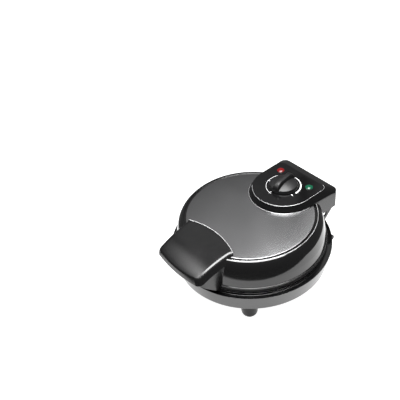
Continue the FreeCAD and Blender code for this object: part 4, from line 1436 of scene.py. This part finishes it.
    def make_visor(self) -> None:
        """Drooping gloss cover with leaning sides, resting on the lid where it overlaps."""
        sides = self.crest(self.flare, self.crest_round, self.crest_reach)
        ends, inners = (self.spaced(self.crest(*sizes), len(sides)) for sizes in (self.end_crest, self.inner_crest))
        rings = []
        for side, end, inner in zip(sides, ends, inners):
            drops = self.drops(side[1], end[1], inner[1])
            rings.append([(x, y, self.top_at(y) - drop)
                          for (x, y), drop in zip(self.outline(side[0], end[0], inner[0]), drops)])
        rings[0] = [self.hem(low, high) for low, high in zip(rings[0], rings[1])]
        middle = (0.0, (self.inner + self.end) / 2 + self.middle_shift)
        under = [self.drawn_in(rings[0], middle, share, self.under_at) for share in self.under_shares]
        top = [self.drawn_in(rings[-1], middle, share, lambda x, y: self.top_at(y)) for share in self.top_shares]
        visor = stacked("handle_visor", under + rings + top, crease=self.visor_crease)
        self.settle(visor, Slot.GLOSS_BLACK, "handle_cover", look=Look.SOFT_GLOSS)
        # painted highlight: a bright bead along the visor's inner edge draws its highlight line
        half = self.half_width - self.flare + self.lip_overlap
        places = [half * step / self.lip_steps for step in range(-self.lip_steps, self.lip_steps + 1)]
        path = [(x, self.inner_edge(x) - self.lip_inset) for x in places]
        self.lid.make_highlight_lip("visor_highlight_lip", path, lambda place: self.top_at(place[1]) - self.lip_sink, self.lip_radius)

    @staticmethod
    def spaced(points: Sequence[Point], count: int) -> list[Point]:
        """A path's points, thinned or doubled to a given number with both ends kept."""
        last = len(points) - 1
        return [points[round(last * step / (count - 1))] for step in range(count)]

    def drops(self, side: float, end: float, inner: float) -> list[float]:
        """Drop below the top curve round the outline, blended at its corners.

        Args:
            side: the drop along the sides.
            end: the drop along the outer end.
            inner: the drop along the inner edge.

        Returns:
            The drop of each of the outline's points.
        """
        turns = range(1, self.corner_steps + 1)
        right = [side] * self.side_steps + [side + (end - side) * step / self.corner_steps for step in turns]
        return [inner] * (self.inner_steps + 1) + right + [end] * (self.end_steps - 1) + right[::-1]

    def under_at(self, x: float, y: float) -> float:
        """Height of the visor's underside at a plan place."""
        return max(self.top_at(y) - self.depth, self.lid.height_at(math.hypot(x, y)) - self.seat_sink)

    def hem(self, low: Place, high: Place) -> Place:
        """Lower edge of a side, raised along the side to where it meets the lid.

        Args:
            low: the edge as drawn.
            high: the next point up the side.

        Returns:
            The edge's place.
        """
        level = min(self.under_at(low[0], low[1]), high[2] - self.seat_sink)
        share = min(max((high[2] - level) / (high[2] - low[2]), 0.0), 1.0)
        return (high[0] + (low[0] - high[0]) * share, high[1] + (low[1] - high[1]) * share, level)

    @staticmethod
    def drawn_in(ring: Sequence[Place], middle: Point, share: float,
                 height: Callable[[float, float], float]) -> list[Place]:
        """A ring drawn in towards a middle point.

        Args:
            ring: the ring's points.
            middle: the plan point that it shrinks to.
            share: how much of its size is left.
            height: level of a plan point.

        Returns:
            The smaller ring.
        """
        spots = [(middle[0] + (x - middle[0]) * share, middle[1] + (y - middle[1]) * share) for x, y, _ in ring]
        return [(x, y, height(x, y)) for x, y in spots]

    def floor_at(self, place: Point, recessed: bool) -> float:
        """Height of the lower shell's underside.

        Args:
            place: a plan place.
            recessed: whether it lies in the finger recess.

        Returns:
            The height there.
        """
        x, y = place
        floor = self.floor_low + self.floor_rise * max(self.heel - y, 0.0)
        if recessed:
            floor += self.recess
        floor = min(floor, self.top_at(y) - self.depth - self.floor_lip)
        return max(floor, self.lid.height_at(math.hypot(x, y)) - self.shell_seat_sink)

    def make_shell(self) -> None:
        """Wedge under the visor with a shallow recess for the fingers."""
        edge, (start, end) = self.recess_share, self.recess_depths
        brim = edge + self.recess_side_step
        shares = sorted([share for share in self.spread() if abs(abs(share) - edge) > self.recess_clear]
                        + [-brim, -edge, edge, brim])
        depths = sorted(set([row / self.rows for row in range(self.rows + 1)]
                            + [start - self.recess_end_step, start, end, end + self.recess_end_step]))
        top, low = [], []
        for depth, row in zip(depths, self.grid(shares, depths)):
            top.append([(x, y, self.top_at(y) - self.depth + self.shell_overlap) for x, y in row])
            low.append([(*place, self.floor_at(place, abs(share) <= edge and start <= depth <= end))
                        for share, place in zip(shares, row)])
        shell = soften_edges(slab("handle_shell", top, low), self.shell_edge, angle=self.shell_edge_angle)
        self.settle(shell, Slot.SATIN_BLACK, "handle_lower_shell", look=Look.SOFT_GLOSS)


@dataclass
class ControlPanel(Assembly):
    """Raised housing on the back of the lid with its scale and lamps."""

    lid: LidShell | None = None
    body: Body = Body.LID
    knob_y: float = 60.96
    top_radius: float = 41.0
    slope: float = 5.0
    flare: float = 3.5
    corner: float = 9.0
    back: float = 113.56
    back_run: float = 16.5
    front_steps: int = 64
    run_steps: int = 7
    corner_steps: int = 12
    back_steps: int = 12
    brim: float = 99.0
    brim_round: float = 0.5
    low: float = 97.0
    seat_sink: float = 0.1
    top: float = 107.5
    top_round: float = 0.7
    plateau_inset: float = 3.0
    lip_radius: float = 0.2
    foot_lip_out: float = 0.2
    foot_lip_inset: float = 1.5
    brow_lip_out: float = 0.4
    brow_lip_sink: float = 0.4
    brow_lip_first: int = 97
    brow_lip_last: int = 50
    lamp_x: float = 26.0
    lamp_y: float = 81.56
    lamp_radius: float = 5.2
    lamp_rise: float = 2.2
    lamp_sink: float = 1.0
    lamp_steps: int = 64
    dome_steps: int = 12
    collar_width: float = 0.7
    collar_overlap: float = 0.2
    collar_sink: float = 0.3
    collar_rise: float = 0.5
    collar_outer_round: float = 0.3
    collar_inner_round: float = 0.2
    scale_radius: float = 23.3
    scale_thin: float = 0.45
    scale_thick: float = 2.3
    scale_growth: float = 3.0
    scale_turns: Point = (-90.0, -360.0)
    scale_steps: int = 108
    mark_turns: tuple[float, ...] = (-97.0, -16.0, 196.0)
    mark_inner: float = 3.0
    mark_outer: float = 0.6
    mark_width: float = 0.9
    print_rise: float = 0.06
    print_sink: float = 0.05

    def build(self) -> None:
        """Make the housing, its printed scale and both lamps."""
        self.make_housing()
        self.make_scale()
        self.make_lamp("red_lens", -self.lamp_x, Slot.RED_LENS, "red_lamp_lens")
        self.make_lamp("green_lens", self.lamp_x, Slot.GREEN_LENS, "green_lamp_lens")

    def outline(self, spread: float) -> list[Point]:
        """Plan of the housing.

        Args:
            spread: how far down its slope, from 0 at the plateau's edge; below 0, how far in on the plateau.

        Returns:
            The outline's points, always as many.
        """
        slope, inset = max(spread, 0.0), max(-spread, 0.0)
        radius = self.top_radius + slope - inset
        back = self.back - inset - self.back_run * (1 - slope / self.slope)
        half = radius + self.flare * slope / self.slope
        corner = self.corner - inset
        run = back - corner - self.knob_y
        points: list[Point] = []
        for step in range(self.front_steps + 1):
            turn = -math.pi * step / self.front_steps
            points.append((radius * math.cos(turn), self.knob_y + radius * math.sin(turn)))
        for step in range(1, self.run_steps):
            share = step / self.run_steps
            points.append((-radius + (radius - half) * share, self.knob_y + run * share))
        for step in range(self.corner_steps + 1):
            turn = math.pi - math.pi / 2 * step / self.corner_steps
            points.append((-half + corner + corner * math.cos(turn), back - corner + corner * math.sin(turn)))
        for step in range(1, self.back_steps):
            points.append((-half + corner + 2 * (half - corner) * step / self.back_steps, back))
        for step in range(self.corner_steps + 1):
            turn = math.pi / 2 - math.pi / 2 * step / self.corner_steps
            points.append((half - corner + corner * math.cos(turn), back - corner + corner * math.sin(turn)))
        for step in range(1, self.run_steps):
            share = step / self.run_steps
            points.append((half + (radius - half) * share, back - corner - run * share))
        return points

    def make_housing(self) -> None:
        """Brim, sloping border and flat plateau, with painted highlight lines as bright beads at its foot and round
        its brow.
        """
        corners = [Corner(self.slope, self.low), Corner(self.slope, self.brim, self.brim_round),
                   Corner(0.0, self.top, self.top_round), Corner(-self.plateau_inset, self.top)]
        section = softened(corners, closed=False)
        loops = [[(x, y, height) for x, y in self.outline(spread)] for spread, height in section]
        loops[0] = [(x, y, self.seat_at((x, y))) for x, y, _ in loops[0]]
        self.settle(stacked("panel_housing", loops), Slot.SATIN_BLACK, "control_panel", look=Look.PANEL_GLOSS)
        # painted highlight: bright beads at the housing's foot and round the plateau's brow draw its highlight lines
        reach = self.lid.disc_radius - self.foot_lip_inset
        front = self.outline(self.slope + self.foot_lip_out)[:self.front_steps + 1]
        foot = [place for place in front if math.hypot(*place) < reach]
        self.lid.make_highlight_lip("panel_highlight_lip", foot, self.lid.on_top, self.lip_radius)
        brow = self.outline(self.brow_lip_out)
        self.lid.make_highlight_lip("plateau_highlight_lip", brow[self.brow_lip_first:] + brow[:self.brow_lip_last],
                          lambda place: self.top - self.brow_lip_sink, self.lip_radius)

    def seat_at(self, place: Point) -> float:
        """Level of the housing's foot on the lid at a plan point."""
        radius = min(math.hypot(*place), self.lid.disc_radius)
        return max(self.low, self.lid.height_at(radius)) - self.seat_sink

    def make_scale(self) -> None:
        """Printed heat scale that grows from thin to thick, with three marks."""
        first, last = self.scale_turns
        rows = []
        for step in range(self.scale_steps + 1):
            share = step / self.scale_steps
            turn = math.radians(first + (last - first) * share)
            width = self.scale_thin + (self.scale_thick - self.scale_thin) * share ** self.scale_growth
            rows.append([(radius * math.cos(turn), radius * math.sin(turn))
                         for radius in (self.scale_radius, self.scale_radius - width)])
        self.make_print("heat_scale", rows)
        for number, degrees in enumerate(self.mark_turns):
            self.make_print(f"scale_mark_{number}", self.mark_rows(degrees))

    def mark_rows(self, degrees: float) -> list[list[Point]]:
        """Short bar across the scale.

        Args:
            degrees: where it lies round the knob.

        Returns:
            Its plan points, measured from the knob's axis.
        """
        turn, half = math.radians(degrees), self.mark_width / 2
        out, aside = Vector((math.cos(turn), math.sin(turn))), Vector((-math.sin(turn), math.cos(turn)))
        return [[tuple(out * reach + aside * offset) for offset in (-half, half)]
                for reach in (self.scale_radius - self.mark_inner, self.scale_radius + self.mark_outer)]

    def make_print(self, name: str, rows: Sequence[Sequence[Point]]) -> None:
        """White print on the plateau.

        Args:
            name: the print's name.
            rows: its plan points, measured from the knob's axis.
        """
        top, low = ([[(x, self.knob_y + y, level) for x, y in row] for row in rows]
                    for level in (self.top + self.print_rise, self.top - self.print_sink))
        self.trim(slab(name, top, low), Look.WHITE_PRINT)

    def make_lamp(self, name: str, x: float, slot: Slot, node: str) -> None:
        """Domed lens in a thin black collar.

        Args:
            name: the lens's name.
            x: its place across.
            slot: its finish.
            node: the node that it stands for.
        """
        place = (x, self.lamp_y)
        turns = [math.pi / 2 * step / self.dome_steps for step in range(self.dome_steps + 1)]
        dome = [(self.lamp_radius * math.sin(turn), self.top + self.lamp_rise * math.cos(turn)) for turn in turns]
        dome += [(self.lamp_radius, self.top - self.lamp_sink), (0.0, self.top - self.lamp_sink)]
        self.settle(lathe(name, dome, place, self.lamp_steps, False), slot, node)
        inner, outer = self.lamp_radius - self.collar_overlap, self.lamp_radius + self.collar_width
        low, high = self.top - self.collar_sink, self.top + self.collar_rise
        collar = softened([Corner(inner, low), Corner(outer, low), Corner(outer, high, self.collar_outer_round),
                           Corner(inner, high, self.collar_inner_round)])
        self.settle(lathe(f"{name}_collar", collar, place, self.lamp_steps), Slot.GLOSS_BLACK)


@dataclass
class Knob(Assembly):
    """Thermostat knob: a low dome with a grip bar across it."""

    body: Body = Body.KNOB
    centre: Point = (0.0, 60.96)
    radius: float = 19.5
    draft: float = 1.6
    low: float = 108.1
    low_round: float = 0.3
    shoulder: float = 112.1
    shoulder_round: float = 0.6
    shoulder_run: Point = (2.0, 0.5)
    dome: float = 4.0
    dome_inset: float = 1.0
    dome_steps: int = 20
    round_steps: int = 128
    bar_top: float = 121.1
    bar_foot_half: float = 5.4
    bar_foot_rise: float = 1.5
    bar_top_half: float = 3.2
    bar_inset: float = 0.9
    bar_end_rise: float = 0.3
    bar_fullness: float = 4.5
    bar_round: float = 1.8
    bar_round_share: float = 0.75
    bar_round_step: float = 12.0
    bar_angle: float = 9.0
    bar_steps: int = 48
    bar_crease: float = 50.0

    def build(self) -> None:
        """Make the round body and the bar."""
        top_radius = self.radius - self.draft
        run, rise = self.shoulder_run
        ball = (top_radius ** 2 + self.dome ** 2) / (2 * self.dome)
        profile = softened([Corner(0.0, self.low), Corner(self.radius, self.low, self.low_round),
                            Corner(top_radius, self.shoulder, self.shoulder_round),
                            Corner(top_radius - run, self.shoulder + rise)], closed=False)[:-1]
        for step in range(self.dome_steps, -1, -1):
            reach = (top_radius - self.dome_inset) * step / self.dome_steps
            profile.append((reach, self.shoulder + self.dome - ball + math.sqrt(ball ** 2 - reach ** 2)))
        body = lathe("knob_body", profile, self.centre, self.round_steps, False)
        self.settle(body, Slot.KNOB_PLASTIC, "knob")
        self.make_bar()

    def make_bar(self) -> None:
        """Grip bar with leaning sides, a round ridge and ends that run down to the skirt."""
        turn = math.radians(self.bar_angle)
        end = self.shoulder + self.bar_end_rise
        loops = []
        for step in range(self.bar_steps + 1):
            share = math.sin(math.pi * (step / self.bar_steps - 0.5))
            along = share * (self.radius - self.bar_inset)
            rise = math.sqrt(max(1 - abs(share) ** self.bar_fullness, 0.0))
            loop = []
            for across, height in self.bar_section(end + (self.bar_top - end) * rise):
                x = across * math.cos(turn) - along * math.sin(turn)
                y = across * math.sin(turn) + along * math.cos(turn)
                loop.append((self.centre[0] + x, self.centre[1] + y, height))
            loops.append(loop)
        self.settle(stacked("knob_bar", loops, crease=self.bar_crease), Slot.KNOB_PLASTIC)

    def bar_section(self, crest: float) -> list[Point]:
        """Section across the bar.

        Args:
            crest: height of its ridge.

        Returns:
            Its points from foot to foot.
        """
        foot, foot_half = self.low + self.bar_foot_rise, self.bar_foot_half
        half = foot_half + (self.bar_top_half - foot_half) * (crest - foot) / (self.bar_top - foot)
        rounding = min(half * self.bar_round_share, self.bar_round)
        sides = [Corner(-foot_half, foot), Corner(-half, crest, rounding), Corner(half, crest, rounding),
                 Corner(foot_half, foot)]
        return softened(sides, closed=False, step_degrees=self.bar_round_step)


# Stage
def eased(share: float) -> float:
    """A share from 0 to 1 that starts and ends gently."""
    return share * share * (3.0 - 2.0 * share)


@dataclass(frozen=True)
class Screen:
    """Curved screen round the machine's axis, which only reflections see."""

    name: str
    start: float
    end: float
    low: float
    high: float
    radius: float
    dim: float
    bright: float
    fade: float = 0.0
    step: float = 3.0
    rows: int = 16
    seam: float = 0.01

    def glow(self, along: float, up: float) -> float:
        """Glow at a place on the screen.

        Args:
            along: share of the way from its start to its end.
            up: share of the way from its lower to its upper edge.

        Returns:
            The glow, fading towards both ends.
        """
        share = 1.0
        if self.fade:
            share = eased(min(min(along, 1.0 - along) * (self.end - self.start) / self.fade, 1.0))
        return share * (self.dim + (self.bright - self.dim) * eased(up))

    def build(self) -> bpy.types.Object:
        """Make the screen.

        Returns:
            Its mesh, with the glow as an attribute.
        """
        across = max(int((self.end - self.start) / self.step), 1)
        width = across + 1
        places: list[Place] = []
        for row in range(self.rows + 1):
            height = self.low + (self.high - self.low) * row / self.rows
            for step in range(width):
                turn = math.radians(self.start + (self.end - self.start) * step / across)
                places.append((self.radius * math.cos(turn), self.radius * math.sin(turn), height))
        faces = [(row * width + step, row * width + step + 1, (row + 1) * width + step + 1, (row + 1) * width + step)
                 for row in range(self.rows) for step in range(across)]
        piece = made(self.name, places, faces)
        layer = piece.data.attributes.new("glow", "FLOAT", "POINT")
        for vertex, value in zip(piece.data.vertices, layer.data):
            x, y, z = vertex.co / MM
            turn = math.degrees(math.atan2(y - AXIS[1], x - AXIS[0])) - self.start
            up = (z - self.low) / (self.high - self.low)
            value.value = self.glow(min((turn + self.seam) % math.degrees(TURN) / (self.end - self.start), 1.0), up)
        return piece


SCREENS = (
    Screen("curtain_foot", start=0.0, end=360.0, low=0.5, high=150.0, radius=238.0, dim=0.12, bright=0.16),
    Screen("curtain", start=0.0, end=360.0, low=150.0, high=430.0, radius=238.0, dim=0.16, bright=0.5),
    Screen("left_card", start=203.0, end=290.0, low=250.0, high=430.0, radius=234.0, dim=0.4, bright=8.0, fade=32.0),
    Screen("back_card", start=60.0, end=118.0, low=230.0, high=430.0, radius=234.0, dim=0.5, bright=0.5, fade=15.0))


@dataclass
class Studio:
    """Floor, light and camera."""

    shelf: Shelf
    azimuth: float = 49.0
    elevation: float = 41.15
    distance: float = 830.0
    target_height: float = 97.0
    roll: float = -2.6
    frame_side: float = 400.0
    focal_pixels: float = 644.0
    target_pixel: Point = (249.8, 213.2)
    sensor: float = 36.0
    clip_start: float = 10.0
    floor_side: float = 9000.0
    floor_glow: float = 1.0
    world_light: float = 0.3
    light_height: float = 1300.0
    key_power: float = 36.0
    key_side: float = 800.0
    back_power: float = 9.0
    back_side: float = 700.0
    back_place: float = 760.0

    def build(self) -> None:
        """Set the whole stage."""
        self.make_camera()
        self.make_floor()
        self.make_world()
        self.make_light("key", self.key_power, self.key_side, 0.0)
        self.make_light("back_light", self.back_power, self.back_side, self.back_place)
        cloth = self.make_cloth()
        for screen in SCREENS:
            self.make_screen(screen, cloth)

    def make_camera(self) -> None:
        """Camera at the photograph's angle, with the lid's disc where the photograph has it."""
        turn, rise = math.radians(self.azimuth), math.radians(self.elevation)
        back = Vector((math.sin(turn) * math.cos(rise), -math.cos(turn) * math.cos(rise), math.sin(rise)))
        right = Vector((math.cos(turn), math.sin(turn), 0.0))
        up = back.cross(right)
        facing = Matrix((right, up, back)).transposed() @ Matrix.Rotation(math.radians(self.roll), 3, "Z")
        half = self.frame_side / 2
        towards = Vector(((self.target_pixel[0] - half) / self.focal_pixels,
                          (half - self.target_pixel[1]) / self.focal_pixels, -1.0))
        aside = towards.rotation_difference(Vector((0.0, 0.0, -1.0))).to_matrix()
        target = Vector((AXIS[0], AXIS[1], self.target_height))
        data = bpy.data.cameras.new("camera")
        data.sensor_width = self.sensor
        data.lens = self.sensor * self.focal_pixels / self.frame_side
        data.clip_start = self.clip_start * MM
        camera = bpy.data.objects.new("camera", data)
        bpy.context.scene.collection.objects.link(camera)
        camera.matrix_world = Matrix.Translation((target + back * self.distance) * MM) @ (facing @ aside).to_4x4()
        bpy.context.scene.camera = camera

    def make_floor(self) -> None:
        """Plain pale floor."""
        half = self.floor_side / 2
        corners = [(-half, -half, 0.0), (half, -half, 0.0), (half, half, 0.0), (-half, half, 0.0)]
        floor = made("floor", corners, [range(len(corners))])
        floor.data.materials.append(self.shelf.take(Look.PALE_FLOOR))
        shader = floor.data.materials[0].node_tree.nodes["Principled BSDF"]
        shader.inputs["Emission Color"].default_value = WHITE
        shader.inputs["Emission Strength"].default_value = self.floor_glow

    def make_world(self) -> None:
        """Even soft light from all round."""
        world = bpy.data.worlds.new("studio")
        world.use_nodes = True
        background = world.node_tree.nodes["Background"]
        background.inputs["Color"].default_value = WHITE
        background.inputs["Strength"].default_value = self.world_light
        bpy.context.scene.world = world
        bpy.context.scene.view_settings.view_transform = "Standard"

    def make_light(self, name: str, power: float, side: float, behind: float) -> None:
        """Square soft light overhead.

        Args:
            name: the light's name.
            power: its power in watts.
            side: its side.
            behind: how far behind the machine's axis it hangs.
        """
        data = bpy.data.lights.new(name, "AREA")
        data.shape = "SQUARE"
        data.size = side * MM
        data.energy = power
        light = bpy.data.objects.new(name, data)
        bpy.context.scene.collection.objects.link(light)
        light.location = (AXIS[0] * MM, (AXIS[1] + behind) * MM, self.light_height * MM)

    @staticmethod
    def make_screen(screen: Screen, cloth: bpy.types.Material) -> None:
        """Hang one screen of the stage.

        Args:
            screen: its place and glow.
            cloth: the material of all screens.
        """
        piece = screen.build()
        piece.data.materials.append(cloth)
        piece.visible_camera = False
        piece.visible_diffuse = False
        piece.visible_shadow = False

    @staticmethod
    def make_cloth() -> bpy.types.Material:
        """Black cloth that glows by the attribute on its mesh.

        Returns:
            The material of the screens.
        """
        material = bpy.data.materials.new("glowing_cloth")
        material.use_nodes = True
        graph = Graph(material.node_tree)
        shader = graph.tree.nodes["Principled BSDF"]
        shader.inputs["Base Color"].default_value = BLACK
        shader.inputs["Roughness"].default_value = 1.0
        shader.inputs["Emission Strength"].default_value = 1.0
        glow = graph.node("ShaderNodeAttribute", attribute_name="glow")
        graph.wire(glow.outputs["Fac"], shader.inputs["Emission Color"])
        return material


def main() -> None:
    """Build the sub-assemblies in order."""
    effects = Effects()
    effects.build()
    shelf = Shelf(effects)
    Studio(shelf).build()
    CarriedNodes(shelf).build()
    BaseShell(shelf).build()
    lid = LidShell(shelf)
    lid.build()
    Handle(shelf, lid=lid).build()
    ControlPanel(shelf, lid=lid).build()
    Knob(shelf).build()


if __name__ == "__main__":
    main()
